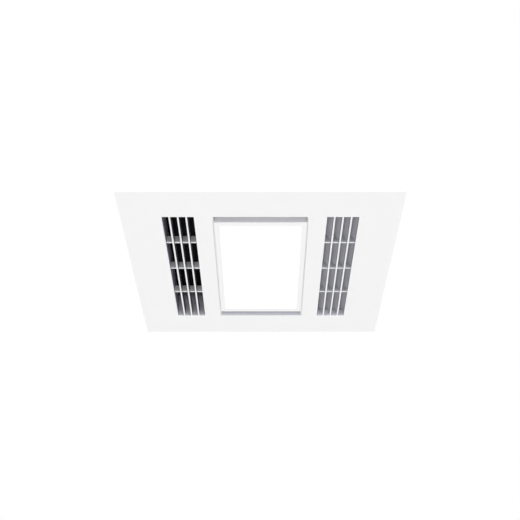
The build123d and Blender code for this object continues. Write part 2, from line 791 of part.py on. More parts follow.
# Inlet ring: bell mouth under the deck that leads the air into the eye of the impeller
inlet_bottom = deck_level - inlet_flange
inlet_lip = impeller_bottom + ring_height / 2
with BuildPart() as inlet_ring:
    with BuildSketch(Plane.XZ.offset(-fan_y)):
        with BuildLine():
            Polyline(
                (fan_x + inlet_radius + inlet_round, inlet_bottom),
                (fan_x + inlet_flange_radius, inlet_bottom),
                (fan_x + inlet_flange_radius, deck_level),
                (fan_x + inlet_radius + inlet_round, deck_level),
            )
            RadiusArc(
                (fan_x + inlet_radius + inlet_round, deck_level),
                (fan_x + inlet_radius + inlet_wall, inlet_bottom + inlet_round),
                inlet_round - inlet_wall,
            )
            Polyline(
                (fan_x + inlet_radius + inlet_wall, inlet_bottom + inlet_round),
                (fan_x + inlet_radius + inlet_wall, inlet_lip),
                (fan_x + inlet_radius, inlet_lip),
                (fan_x + inlet_radius, inlet_bottom + inlet_round),
            )
            RadiusArc(
                (fan_x + inlet_radius, inlet_bottom + inlet_round),
                (fan_x + inlet_radius + inlet_round, inlet_bottom),
                -inlet_round,
            )
        make_face()
    revolve(axis=Axis((fan_x, fan_y, 0), (0, 0, 1)))
    with BuildSketch(fan_axis.offset(inlet_bottom)):
        with PolarLocations(inlet_screw_radius, inlet_screw_count):
            Circle(screw_radius + screw_hole_gap)
    extrude(amount=inlet_flange, mode=Mode.SUBTRACT)
inlet_ring.part.label = "inlet_ring"
export_step(inlet_ring.part, "parts/inlet_ring.step")
inlet_screw_places = []
for number in range(inlet_screw_count):
    screw_angle = 2 * pi * number / inlet_screw_count
    screw_x = fan_x + inlet_screw_radius * cos(screw_angle)
    screw_y = fan_y + inlet_screw_radius * sin(screw_angle)
    inlet_screw_places.append(Location((screw_x, screw_y, inlet_bottom), (180, 0, 0)))
inlet_screw = pan_screw(inlet_flange + sheet + screw_tip)
with BuildPart() as inlet_screws:
    with Locations(*inlet_screw_places):
        add(inlet_screw)
inlet_screws.part.label = "inlet_screws"
export_step(inlet_screws.part, "parts/inlet_screws.step")

# Impeller: forward-curved blades between a ring round the eye and a plate with the hub
with BuildSketch() as impeller_blade:
    with BuildLine():
        blade_inner = impeller_radius - blade_chord
        blade_middle = impeller_radius - blade_chord / 2
        back_lean = blade_lean + blade_sheet
        front = ThreePointArc(
            (blade_inner, 0),
            (blade_middle, blade_lean / 2 - blade_sag),
            (impeller_radius - blade_lean ** 2 / (2 * impeller_radius), blade_lean),
        )
        back = ThreePointArc(
            (blade_inner, blade_sheet),
            (blade_middle, blade_lean / 2 - blade_sag + blade_sheet),
            (impeller_radius - back_lean ** 2 / (2 * impeller_radius), back_lean),
        )
        Line(front @ 0, back @ 0)
        Line(front @ 1, back @ 1)
    make_face()
with BuildPart() as impeller:
    with BuildSketch(fan_axis.offset(impeller_bottom)):
        with PolarLocations(0, blade_count):
            add(impeller_blade.sketch)
    extrude(amount=impeller_height)
    with BuildSketch(fan_axis.offset(impeller_bottom)):
        Circle(impeller_radius + blade_sheet)
        Circle(impeller_eye, mode=Mode.SUBTRACT)
    extrude(amount=ring_height)
    with BuildSketch(fan_axis.offset(impeller_top)):
        Circle(impeller_radius + blade_sheet)
    extrude(amount=-back_plate)
    with BuildSketch(fan_axis.offset(impeller_top)):
        Circle(hub_radius)
    extrude(amount=-hub_height, taper=hub_draft)
    with BuildSketch(fan_axis.offset(impeller_top)):
        Circle(shaft_radius + running_gap)
    extrude(amount=-hub_height, mode=Mode.SUBTRACT)
impeller.part.label = "impeller"
export_step(impeller.part, "parts/impeller.step")

nut_top = impeller_top - hub_height
with BuildPart() as impeller_nut:
    with BuildSketch(fan_axis.offset(nut_top)):
        RegularPolygon(nut_radius, 6)
        Circle(shaft_radius + running_gap, mode=Mode.SUBTRACT)
    extrude(amount=-nut_height)
impeller_nut.part.label = "impeller_nut"
export_step(impeller_nut.part, "parts/impeller_nut.step")

# Scroll casing: a spiral of three quarter turns and a straight outlet, with screw feet on the deck
spiral_start = (fan_x - turn + spiral_radius, fan_y - turn)
spiral_low = (fan_x - turn, fan_y - turn - spiral_radius)
spiral_left = (fan_x - turn - spiral_radius - scroll_growth, fan_y + turn)
spiral_high = (fan_x + turn, fan_y + outlet_high)
with BuildSketch() as air_path:
    with BuildLine():
        RadiusArc(spiral_start, spiral_low, spiral_radius)
        RadiusArc(spiral_low, spiral_left, spiral_radius + scroll_growth)
        RadiusArc(spiral_left, spiral_high, spiral_radius + 2 * scroll_growth)
        Polyline(
            spiral_high,
            (mouth_x, spiral_high[1]),
            (mouth_x, tongue_y),
            (spiral_start[0], tongue_y),
            spiral_start,
        )
    make_face()
    fillet(air_path.vertices().sort_by_distance((spiral_start[0], tongue_y))[0], radius=tongue_round)
with BuildSketch() as casing_outline:
    add(air_path.sketch)
    offset(amount=scroll_wall, kind=Kind.INTERSECTION)
    trim_x = mouth_x + scroll_wall
    with Locations((trim_x, 0)):
        Rectangle(2 * scroll_wall, 4 * spiral_radius, mode=Mode.SUBTRACT)
scroll_cover = scroll_top - scroll_wall
with BuildPart() as scroll_casing:
    with BuildSketch(Plane.XY.offset(deck_top)):
        add(casing_outline.sketch)
    extrude(amount=scroll_height)
    with BuildSketch(Plane.XY.offset(deck_top)):
        with Locations(*scroll_feet):
            Circle(scroll_foot_radius)
    extrude(amount=scroll_wall)
    with BuildSketch(Plane.XY.offset(deck_top)):
        add(air_path.sketch)
    extrude(amount=scroll_height - scroll_wall, mode=Mode.SUBTRACT)
    with BuildSketch(fan_axis.offset(scroll_cover)):
        Circle(motor_hole_radius)
        with PolarLocations(bush_pitch, bush_count):
            Circle(screw_radius + screw_hole_gap)
    extrude(amount=scroll_wall, mode=Mode.SUBTRACT)
    with BuildSketch(Plane.XY.offset(deck_top)):
        with Locations(*scroll_feet):
            Circle(screw_radius + screw_hole_gap)
    extrude(amount=scroll_wall, mode=Mode.SUBTRACT)
scroll_casing.part.label = "scroll_casing"
export_step(scroll_casing.part, "parts/scroll_casing.step")

scroll_screw_places = [(x, y, deck_top + scroll_wall) for x, y in scroll_feet]
scroll_screw = pan_screw(scroll_wall + sheet + screw_tip)
with BuildPart() as scroll_screws:
    with Locations(*scroll_screw_places):
        add(scroll_screw)
scroll_screws.part.label = "scroll_screws"
export_step(scroll_screws.part, "parts/scroll_screws.step")

deck_screw_list = []
for side, tilt in ((-1, 90), (1, -90)):
    for x, z in deck_screw_places:
        deck_screw_list.append(Location((x, side * housing_wall, z), (tilt, 0, 0)))
deck_screw = pan_screw(2 * sheet + fit_gap + screw_tip)
with BuildPart() as deck_screws:
    with Locations(*deck_screw_list):
        add(deck_screw)
deck_screws.part.label = "deck_screws"
export_step(deck_screws.part, "parts/deck_screws.step")

# Motor: plate on rubber bushes, two drawn shells round the stator, and a rotor on a shaft through the hub
with BuildPart() as motor_plate:
    with BuildSketch(fan_axis.offset(plate_z)):
        with PolarLocations(bush_pitch, bush_count):
            Circle(bush_radius + motor_plate_rim)
        Circle(motor_radius + motor_plate_rim)
        make_hull()
        Circle(bearing_radius + scroll_wall, mode=Mode.SUBTRACT)
        with PolarLocations(bush_pitch, bush_count):
            Circle(screw_radius + screw_hole_gap, mode=Mode.SUBTRACT)
        with PolarLocations(motor_screw_pitch, motor_screw_count, start_angle=motor_screw_angle):
            Circle(screw_radius + running_gap, mode=Mode.SUBTRACT)
    extrude(amount=motor_plate_sheet)
motor_plate.part.label = "motor_plate"
export_step(motor_plate.part, "parts/motor_plate.step")

with BuildPart() as motor_bushes:
    with BuildSketch(fan_axis.offset(scroll_top)):
        with PolarLocations(bush_pitch, bush_count):
            Circle(bush_radius)
            Circle(screw_radius + screw_hole_gap, mode=Mode.SUBTRACT)
    extrude(amount=bush_height)
motor_bushes.part.label = "motor_bushes"
export_step(motor_bushes.part, "parts/motor_bushes.step")

bush_screw_places = []
for number in range(bush_count):
    screw_angle = 2 * pi * number / bush_count
    screw_x = fan_x + bush_pitch * cos(screw_angle)
    screw_y = fan_y + bush_pitch * sin(screw_angle)
    bush_screw_places.append((screw_x, screw_y, shell_z))
motor_mount_screw = pan_screw(motor_plate_sheet + bush_height + scroll_wall)
with BuildPart() as motor_mount_screws:
    with Locations(*bush_screw_places):
        add(motor_mount_screw)
motor_mount_screws.part.label = "motor_mount_screws"
export_step(motor_mount_screws.part, "parts/motor_mount_screws.step")


def motor_shell(base):
    """A drawn cup that opens along the normal of its base plane, with a bearing seat and cooling slots."""
    shell_slot_place = (motor_radius + bearing_radius) / 2
    with BuildPart() as shell:
        with BuildSketch(base):
            Circle(motor_radius)
        extrude(amount=shell_height)
        with BuildSketch(base.offset(shell_sheet)):
            Circle(motor_radius - shell_sheet)
        extrude(amount=shell_height - shell_sheet, mode=Mode.SUBTRACT)
        with BuildSketch(base.offset(shell_sheet)):
            Circle(bearing_radius + running_gap + shell_sheet)
            Circle(bearing_radius + running_gap, mode=Mode.SUBTRACT)
        extrude(amount=bearing_length)
        with BuildSketch(base):
            Circle(shaft_radius + fit_gap)
            with PolarLocations(motor_screw_pitch, motor_screw_count, start_angle=motor_screw_angle):
                Circle(screw_radius + screw_hole_gap)
            with PolarLocations(shell_slot_place, shell_slot_count, start_angle=motor_screw_angle / 2):
                SlotOverall(shell_slot_length, shell_slot_width)
        extrude(amount=shell_sheet, mode=Mode.SUBTRACT)
    return shell.part


fan_point = (fan_x, fan_y)
motor_lower_shell = motor_shell(Plane((*fan_point, shell_z)))
motor_lower_shell.label = "motor_lower_shell"
export_step(motor_lower_shell, "parts/motor_lower_shell.step")
motor_upper_shell = motor_shell(Plane((*fan_point, motor_top), (1, 0, 0), (0, 0, -1)))
motor_upper_shell.label = "motor_upper_shell"
export_step(motor_upper_shell, "parts/motor_upper_shell.step")

with BuildPart() as stator_core:
    with BuildSketch(fan_axis.offset(stator_z)):
        Circle(motor_radius)
        Circle(stator_bore, mode=Mode.SUBTRACT)
        with PolarLocations(motor_screw_pitch, motor_screw_count, start_angle=motor_screw_angle):
            Circle(screw_radius + screw_hole_gap, mode=Mode.SUBTRACT)
    extrude(amount=stator_height)
stator_core.part.label = "stator_core"
export_step(stator_core.part, "parts/stator_core.step")

rotor_middle = stator_z + stator_height / 2
with BuildPart() as rotor:
    with BuildSketch(fan_axis.offset(rotor_middle)):
        Circle(stator_bore - rotor_gap)
        Circle(shaft_radius + running_gap, mode=Mode.SUBTRACT)
    extrude(amount=rotor_height / 2, both=True)
rotor.part.label = "rotor"
export_step(rotor.part, "parts/rotor.step")

shaft_low = nut_top - nut_height - shaft_end_gap
with BuildPart() as motor_shaft:
    with BuildSketch(fan_axis.offset(shaft_low)):
        Circle(shaft_radius)
    extrude(amount=motor_top - shell_sheet - shaft_end_gap - shaft_low)
    chamfer(motor_shaft.faces().sort_by(Axis.Z)[0].edges(), length=shaft_chamfer)
motor_shaft.part.label = "motor_shaft"
export_step(motor_shaft.part, "parts/motor_shaft.step")

with BuildPart() as motor_bearings:
    for bearing_z in (shell_z + shell_sheet, motor_top - shell_sheet - bearing_length):
        with BuildSketch(fan_axis.offset(bearing_z)):
            Circle(bearing_radius)
            Circle(shaft_radius + running_gap, mode=Mode.SUBTRACT)
        extrude(amount=bearing_length)
motor_bearings.part.label = "motor_bearings"
export_step(motor_bearings.part, "parts/motor_bearings.step")

motor_screw_places = []
for number in range(motor_screw_count):
    screw_angle = radians(motor_screw_angle) + 2 * pi * number / motor_screw_count
    screw_x = fan_x + motor_screw_pitch * cos(screw_angle)
    screw_y = fan_y + motor_screw_pitch * sin(screw_angle)
    motor_screw_places.append((screw_x, screw_y, motor_top))
motor_screw = pan_screw(motor_top - plate_z)
with BuildPart() as motor_screws:
    with Locations(*motor_screw_places):
        add(motor_screw)
motor_screws.part.label = "motor_screws"
export_step(motor_screws.part, "parts/motor_screws.step")

# Outlet duct: sheet box over the outlet collar, with openings for the scroll, the room and the exhaust
damper_x = duct_right - damper_wall_gap
mouth_low = tongue_y - scroll_wall - fit_gap
mouth_high = fan_y + outlet_high + scroll_wall + fit_gap
duct_flange_end = pocket_end + fit_gap
bush_outer = damper_shaft_radius + running_gap + damper_bush_wall
terminal_y = -(heater_length / 2 + heater_cap_length / 2)
terminal_z = heater_level + heater_height / 2
stop_top = damper_level - damper_sheet / 2 - fit_gap
with BuildPart() as outlet_duct:
    duct_walls_x = (duct_left - sheet, duct_right + sheet)
    block(duct_walls_x, (-duct_end - sheet, duct_end + sheet), (duct_bottom, duct_top + sheet))
    block((duct_left, duct_right), (-duct_end, duct_end), (duct_bottom + sheet, duct_top), mode=Mode.SUBTRACT)
    flange_x = (outlet_left - collar_wall, duct_right + sheet)
    block(flange_x, (-duct_flange_end, duct_flange_end), (duct_bottom, duct_bottom + sheet))
    foot_z = (duct_bottom, duct_bottom + sheet)
    block((duct_left, outlet_right), (-duct_end, duct_end), foot_z, mode=Mode.SUBTRACT)
    mouth_z = (deck_top, scroll_top + fit_gap)
    block((duct_left - sheet, duct_left), (mouth_low, mouth_high), mouth_z, mode=Mode.SUBTRACT)
    # Exhaust opening and the holes of the spigot screws
    with BuildSketch(Plane.YZ.offset(duct_right)):
        with Locations((0, exhaust_z)):
            Rectangle(exhaust_width, exhaust_height)
            with GridLocations(2 * spigot_screw_y, 2 * spigot_screw_z, 2, 2):
                Circle(screw_radius + running_gap)
    extrude(amount=sheet, mode=Mode.SUBTRACT)
    # Shelves for the heater and a stop for the damper
    for side in (-1, 1):
        shelf_y = sorted((side * (duct_end - shelf_depth), side * duct_end))
        block((duct_left, duct_right), shelf_y, (heater_level - sheet, heater_level))
    block((duct_left, duct_left + stop_width), (-duct_end, duct_end), (stop_top - sheet, stop_top))
    # Bush holes in the end walls, screw holes of the gear motor and a slot for the heater terminals
    with BuildSketch(Plane.XZ.offset(-duct_end - sheet)):
        with Locations((damper_x, damper_level)):
            Circle(bush_outer + running_gap)
    extrude(amount=2 * (duct_end + sheet), mode=Mode.SUBTRACT)
    with BuildSketch(Plane.XZ.offset(duct_end)):
        with Locations((damper_x - gear_motor_offset, damper_level)):
            with GridLocations(0, 2 * gear_motor_ear, 1, 2):
                Circle(screw_radius + running_gap)
    extrude(amount=sheet, mode=Mode.SUBTRACT)
    slot_y = (terminal_y - heater_cap_length / 2, terminal_y + heater_cap_length / 2)
    slot_z = (terminal_z - terminal_width, terminal_z + terminal_width)
    block((duct_left - sheet, duct_left), slot_y, slot_z, mode=Mode.SUBTRACT)
outlet_duct.part.label = "outlet_duct"
export_step(outlet_duct.part, "parts/outlet_duct.step")

with BuildPart() as outlet_seal:
    with BuildSketch(Plane.XY.offset(collar_top)):
        with Locations((outlet_x, 0)):
            Rectangle(outlet_width + 2 * collar_wall, opening_length + 2 * collar_wall)
            Rectangle(outlet_width, opening_length, mode=Mode.SUBTRACT)
    extrude(amount=duct_seal)
outlet_seal.part.label = "outlet_seal"
export_step(outlet_seal.part, "parts/outlet_seal.step")

# Heater: three element tubes with corrugated fins between them, held by moulded end caps on the shelves
heater_x = (duct_left + outlet_right) / 2
element_pitch = element_width + fin_width
stack_width = element_count * element_width + (element_count + 1) * fin_width
heater_top = heater_level + heater_height
element_end = heater_length / 2 + element_insert
with BuildPart() as heater_elements:
    with BuildSketch(Plane.XY.offset(heater_level)):
        with Locations((heater_x, 0)):
            with GridLocations(element_pitch, 0, element_count, 1):
                Rectangle(element_width, 2 * element_end)
    extrude(amount=heater_height)
heater_elements.part.label = "heater_elements"
export_step(heater_elements.part, "parts/heater_elements.step")

fold_count = int(heater_length / fin_pitch) * 2
fold_step = (heater_length - 2 * fin_sheet) / fold_count
fin_reach = fin_width / 2 - running_gap
fold_inset = fin_sheet * fin_reach / fold_step
near_side = []
far_side = []
for fold in range(fold_count + 1):
    fold_y = (fold - fold_count / 2) * fold_step
    side = 1 if fold % 2 == 0 else -1
    outside = near_side if side > 0 else far_side
    inside = far_side if side > 0 else near_side
    outside.append((side * fin_reach, fold_y - fin_sheet / 2))
    outside.append((side * fin_reach, fold_y + fin_sheet / 2))
    if 0 < fold < fold_count:
        inside.append((side * (fin_reach - fold_inset), fold_y))
with BuildSketch() as fin_strip:
    with BuildLine():
        Polyline(*near_side, *reversed(far_side), close=True)
    make_face()
with BuildPart() as heater_fins:
    with BuildSketch(Plane.XY.offset(heater_level)):
        with Locations((heater_x, 0)):
            with GridLocations(element_pitch, 0, element_count + 1, 1):
                add(fin_strip.sketch)
    extrude(amount=heater_height)
heater_fins.part.label = "heater_fins"
export_step(heater_fins.part, "parts/heater_fins.step")

cap_half = stack_width / 2 + heater_cap_wall
with BuildPart() as heater_end_caps:
    for side in (-1, 1):
        cap_y = sorted((side * heater_length / 2, side * (heater_length / 2 + heater_cap_length)))
        block((heater_x - cap_half, heater_x + cap_half), cap_y, (heater_level, heater_top + heater_cap_wall))
    with BuildSketch(Plane.XY.offset(heater_level)):
        with Locations((heater_x, 0)):
            with GridLocations(element_pitch, 0, element_count, 1):
                Rectangle(element_width + 2 * running_gap, 2 * element_end + 2 * running_gap)
    extrude(amount=heater_height + running_gap, mode=Mode.SUBTRACT)
    cap_slot_x = (heater_x - cap_half, heater_x - cap_half + terminal_root)
    for k in (-1, 0, 1):
        blade_y = terminal_y + k * terminal_pitch
        blade_half = terminal_sheet / 2 + running_gap
        slot_half = terminal_width / 2 + running_gap
        blade_z = (terminal_z - slot_half, terminal_z + slot_half)
        block(cap_slot_x, (blade_y - blade_half, blade_y + blade_half), blade_z, mode=Mode.SUBTRACT)
heater_end_caps.part.label = "heater_end_caps"
export_step(heater_end_caps.part, "parts/heater_end_caps.step")

with BuildPart() as heater_terminals:
    blade_root = heater_x - cap_half + terminal_root
    blade_x = (blade_root - terminal_length, blade_root)
    for k in (-1, 0, 1):
        blade_y = terminal_y + k * terminal_pitch
        blade_z = (terminal_z - terminal_width / 2, terminal_z + terminal_width / 2)
        block(blade_x, (blade_y - terminal_sheet / 2, blade_y + terminal_sheet / 2), blade_z)
heater_terminals.part.label = "heater_terminals"
export_step(heater_terminals.part, "parts/heater_terminals.step")

cutout_place = Plane((duct_left - sheet, duct_end - 3 * cutout_radius, exhaust_z), (0, 1, 0), (-1, 0, 0))
with BuildPart() as thermal_cutout:
    with BuildSketch(cutout_place):
        SlotOverall(cutout_ear_length, cutout_radius)
        Circle(cutout_radius)
    extrude(amount=sheet)
    with BuildSketch(cutout_place):
        Circle(cutout_radius)
    extrude(amount=cutout_height)
    with BuildSketch(cutout_place.offset(cutout_height)):
        with GridLocations(0, cutout_radius, 1, 2):
            Rectangle(terminal_width, terminal_sheet)
    extrude(amount=terminal_length)
thermal_cutout.part.label = "thermal_cutout"
export_step(thermal_cutout.part, "parts/thermal_cutout.step")

# Changeover damper: flap with a rolled edge on a shaft along the duct
flap_end = duct_end - damper_end_gap
flap_free = duct_left + damper_end_gap
knuckle_outer = damper_shaft_radius + running_gap + damper_knuckle
damper_fold = damper_wall_gap - damper_sheet / 2 - exhaust_seal_thickness - damper_fold_gap
with BuildPart() as changeover_damper:
    with BuildSketch(Plane.XZ.offset(-flap_end)):
        with Locations((damper_x, damper_level)):
            Circle(knuckle_outer)
        with Locations(((flap_free + damper_x) / 2, damper_level)):
            Rectangle(damper_x - flap_free, damper_sheet)
        fold_z = damper_level - damper_sheet / 2 + (damper_sheet + damper_fold) / 2
        with Locations((flap_free + damper_sheet / 2, fold_z)):
            Rectangle(damper_sheet, damper_sheet + damper_fold)
        with Locations((damper_x, damper_level)):
            Circle(damper_shaft_radius + running_gap, mode=Mode.SUBTRACT)
    extrude(amount=2 * flap_end)
changeover_damper.part.label = "changeover_damper"
export_step(changeover_damper.part, "parts/changeover_damper.step")

shaft_end = duct_end + sheet + damper_bush_flange
with BuildPart() as damper_shaft:
    with BuildSketch(Plane.XZ.offset(-shaft_end)):
        with Locations((damper_x, damper_level)):
            Circle(damper_shaft_radius)
    extrude(amount=2 * shaft_end + gear_motor_length / 3)
damper_shaft.part.label = "damper_shaft"
export_step(damper_shaft.part, "parts/damper_shaft.step")

with BuildPart() as damper_bushes:
    for side in (-1, 1):
        bush_plane = Plane((damper_x, side * (duct_end + sheet), damper_level), z_dir=(0, side, 0))
        with BuildSketch(bush_plane):
            Circle(bush_outer + damper_bush_rim)
        extrude(amount=damper_bush_flange)
        with BuildSketch(bush_plane):
            Circle(bush_outer)
        extrude(amount=-sheet)
        with BuildSketch(bush_plane.offset(damper_bush_flange)):
            Circle(damper_shaft_radius + running_gap)
        extrude(amount=-damper_bush_flange - sheet, mode=Mode.SUBTRACT)
damper_bushes.part.label = "damper_bushes"
export_step(damper_bushes.part, "parts/damper_bushes.step")

motor_face = Plane((damper_x - gear_motor_offset, -duct_end - sheet, damper_level), (1, 0, 0), (0, -1, 0))
output_face = Plane((damper_x, -duct_end - sheet, damper_level), (1, 0, 0), (0, -1, 0))
with BuildPart() as gear_motor:
    with BuildSketch(motor_face):
        Circle(gear_motor_radius)
    extrude(amount=gear_motor_length)
    chamfer(gear_motor.faces().sort_by(Axis.Y)[0].edges(), length=gear_motor_chamfer)
    with BuildSketch(motor_face):
        SlotOverall(2 * gear_motor_ear + gear_motor_ear_width, gear_motor_ear_width, rotation=90)
        with GridLocations(0, 2 * gear_motor_ear, 1, 2):
            Circle(screw_radius + screw_hole_gap, mode=Mode.SUBTRACT)
    extrude(amount=gear_motor_ear_sheet)
    with BuildSketch(output_face):
        Circle(bush_outer + damper_bush_rim + fit_gap)
    extrude(amount=damper_bush_flange + fit_gap, mode=Mode.SUBTRACT)
    with BuildSketch(output_face):
        Circle(damper_shaft_radius + running_gap)
    extrude(amount=gear_motor_length / 2, mode=Mode.SUBTRACT)
gear_motor.part.label = "gear_motor"
export_step(gear_motor.part, "parts/gear_motor.step")

gear_screw_y = -duct_end - sheet - gear_motor_ear_sheet
gear_screw_places = []
for side in (-1, 1):
    screw_point = (damper_x - gear_motor_offset, gear_screw_y, damper_level + side * gear_motor_ear)
    gear_screw_places.append(Location(screw_point, (90, 0, 0)))
gear_motor_screw = pan_screw(gear_motor_ear_sheet + sheet)
with BuildPart() as gear_motor_screws:
    with Locations(*gear_screw_places):
        add(gear_motor_screw)
gear_motor_screws.part.label = "gear_motor_screws"
export_step(gear_motor_screws.part, "parts/gear_motor_screws.step")

with BuildPart() as exhaust_seal:
    with BuildSketch(Plane.YZ.offset(duct_right)):
        with Locations((0, exhaust_z)):
            Rectangle(exhaust_width + 2 * exhaust_seal_width, exhaust_height + 2 * exhaust_seal_width)
            Rectangle(exhaust_width, exhaust_height, mode=Mode.SUBTRACT)
    extrude(amount=-exhaust_seal_thickness)
exhaust_seal.part.label = "exhaust_seal"
export_step(exhaust_seal.part, "parts/exhaust_seal.step")

# Duct spigot: flange on the housing, a body that turns from oblong to round, and a beaded tube
taper_start = housing_wall + spigot_flange
tube_start = taper_start + spigot_taper_length
tube_end = tube_start + spigot_length
spigot_inside = spigot_radius - spigot_wall
leaf_x = tube_start + leaf_setback
stop_face = leaf_x - leaf_sheet / 2 - fit_gap
with BuildPart() as duct_spigot:
    with BuildSketch(Plane.YZ.offset(housing_wall)):
        with Locations((0, exhaust_z)):
            plate_width = exhaust_width + 2 * spigot_flange_width
            plate_height = exhaust_height + 2 * spigot_flange_width
            RectangleRounded(plate_width, plate_height, spigot_flange_width)
    extrude(amount=spigot_flange)
    with BuildSketch(Plane.YZ.offset(taper_start)):
        with Locations((0, exhaust_z)):
            Rectangle(exhaust_width + 2 * spigot_wall, exhaust_height + 2 * spigot_wall)
    with BuildSketch(Plane.YZ.offset(tube_start)):
        with Locations((0, exhaust_z)):
            Circle(spigot_radius)
    loft()
    with BuildSketch(Plane.YZ.offset(tube_start)):
        with Locations((0, exhaust_z)):
            Circle(spigot_radius)
    extrude(amount=spigot_length)
    with BuildSketch(Plane.YZ.offset(tube_start + 2 * spigot_wall)):
        with Locations((0, exhaust_z)):
            Circle(spigot_radius + spigot_bead)
    extrude(amount=spigot_wall)
    with BuildSketch(Plane.YZ.offset(housing_wall)):
        with Locations((0, exhaust_z)):
            Rectangle(exhaust_width, exhaust_height)
    extrude(amount=spigot_flange, mode=Mode.SUBTRACT)
    with BuildSketch(Plane.YZ.offset(taper_start)):
        with Locations((0, exhaust_z)):
            Rectangle(exhaust_width, exhaust_height)
    with BuildSketch(Plane.YZ.offset(tube_start)):
        with Locations((0, exhaust_z)):
            Circle(spigot_inside)
    loft(mode=Mode.SUBTRACT)
    with BuildSketch(Plane.YZ.offset(tube_start)):
        with Locations((0, exhaust_z)):
            Circle(spigot_inside)
    extrude(amount=spigot_length, mode=Mode.SUBTRACT)
    # Rim that the closed leaves rest on
    with BuildSketch(Plane.YZ.offset(stop_face - leaf_sheet)):
        with Locations((0, exhaust_z)):
            Circle(spigot_inside)
            Circle(spigot_inside - leaf_stop, mode=Mode.SUBTRACT)
    extrude(amount=leaf_sheet)
    # Pin holes above and below, and screw holes in the flange
    with BuildSketch(Plane.XY.offset(exhaust_z - spigot_radius - cut_margin)):
        with Locations((leaf_x, 0)):
            Circle(leaf_pin_radius + running_gap)
    extrude(amount=2 * (spigot_radius + cut_margin), mode=Mode.SUBTRACT)
    with BuildSketch(Plane.YZ.offset(housing_wall)):
        with Locations((0, exhaust_z)):
            with GridLocations(2 * spigot_screw_y, 2 * spigot_screw_z, 2, 2):
                Circle(screw_radius + screw_hole_gap)
    extrude(amount=spigot_flange, mode=Mode.SUBTRACT)
duct_spigot.part.label = "duct_spigot"
export_step(duct_spigot.part, "parts/duct_spigot.step")

spigot_screw_list = []
for y in (-spigot_screw_y, spigot_screw_y):
    for z in (exhaust_z - spigot_screw_z, exhaust_z + spigot_screw_z):
        spigot_screw_list.append(Location((taper_start, y, z), (0, 90, 0)))
spigot_screw = pan_screw(spigot_flange + 2 * sheet + 2 * fit_gap + screw_tip)
with BuildPart() as spigot_screws:
    with Locations(*spigot_screw_list):
        add(spigot_screw)
spigot_screws.part.label = "spigot_screws"
export_step(spigot_screws.part, "parts/spigot_screws.step")

# Backdraft leaves: two half discs on one upright pin, with knuckles that alternate along it
leaf_radius = spigot_inside - leaf_gap
knuckle_radius = leaf_pin_radius + running_gap + leaf_knuckle
knuckle_top = sqrt((spigot_inside - leaf_stop) ** 2 - knuckle_radius ** 2) - leaf_gap
knuckle_split = knuckle_top / 3
with BuildPart() as backdraft_pin:
    with BuildSketch(Plane.XY.offset(exhaust_z - spigot_radius)):
        with Locations((leaf_x, 0)):
            Circle(leaf_pin_radius)
    extrude(amount=2 * spigot_radius)
backdraft_pin.part.label = "backdraft_pin"
export_step(backdraft_pin.part, "parts/backdraft_pin.step")


def backdraft_leaf(side, knuckle_spans):
    """A half disc on one side of the pin, with a knuckle over each span of height."""
    with BuildPart() as leaf:
        with BuildSketch(Plane.YZ.offset(leaf_x - leaf_sheet / 2)):
            with Locations((0, exhaust_z)):
                Circle(leaf_radius)
                with Locations((-side * spigot_radius + side * (knuckle_radius + leaf_gap), 0)):
                    Rectangle(2 * spigot_radius, 2 * spigot_radius, mode=Mode.SUBTRACT)
            for low, high in knuckle_spans:
                reach = knuckle_radius + 2 * leaf_gap
                with Locations((side * reach / 2, exhaust_z + (low + high) / 2)):
                    Rectangle(reach, high - low)
        extrude(amount=leaf_sheet)
        for low, high in knuckle_spans:
            with BuildSketch(Plane.XY.offset(exhaust_z + low)):
                with Locations((leaf_x, 0)):
                    Circle(knuckle_radius)
            extrude(amount=high - low)
        with BuildSketch(Plane.XY.offset(exhaust_z - spigot_radius)):
            with Locations((leaf_x, 0)):
                Circle(leaf_pin_radius + running_gap)
        extrude(amount=2 * spigot_radius, mode=Mode.SUBTRACT)
    return leaf.part


outer_spans = [(-knuckle_top, -knuckle_split - fit_gap), (knuckle_split + fit_gap, knuckle_top)]
backdraft_leaf_far = backdraft_leaf(1, outer_spans)
backdraft_leaf_far.label = "backdraft_leaf_far"
export_step(backdraft_leaf_far, "parts/backdraft_leaf_far.step")
backdraft_leaf_near = backdraft_leaf(-1, [(-knuckle_split, knuckle_split)])
backdraft_leaf_near.label = "backdraft_leaf_near"
export_step(backdraft_leaf_near, "parts/backdraft_leaf_near.step")

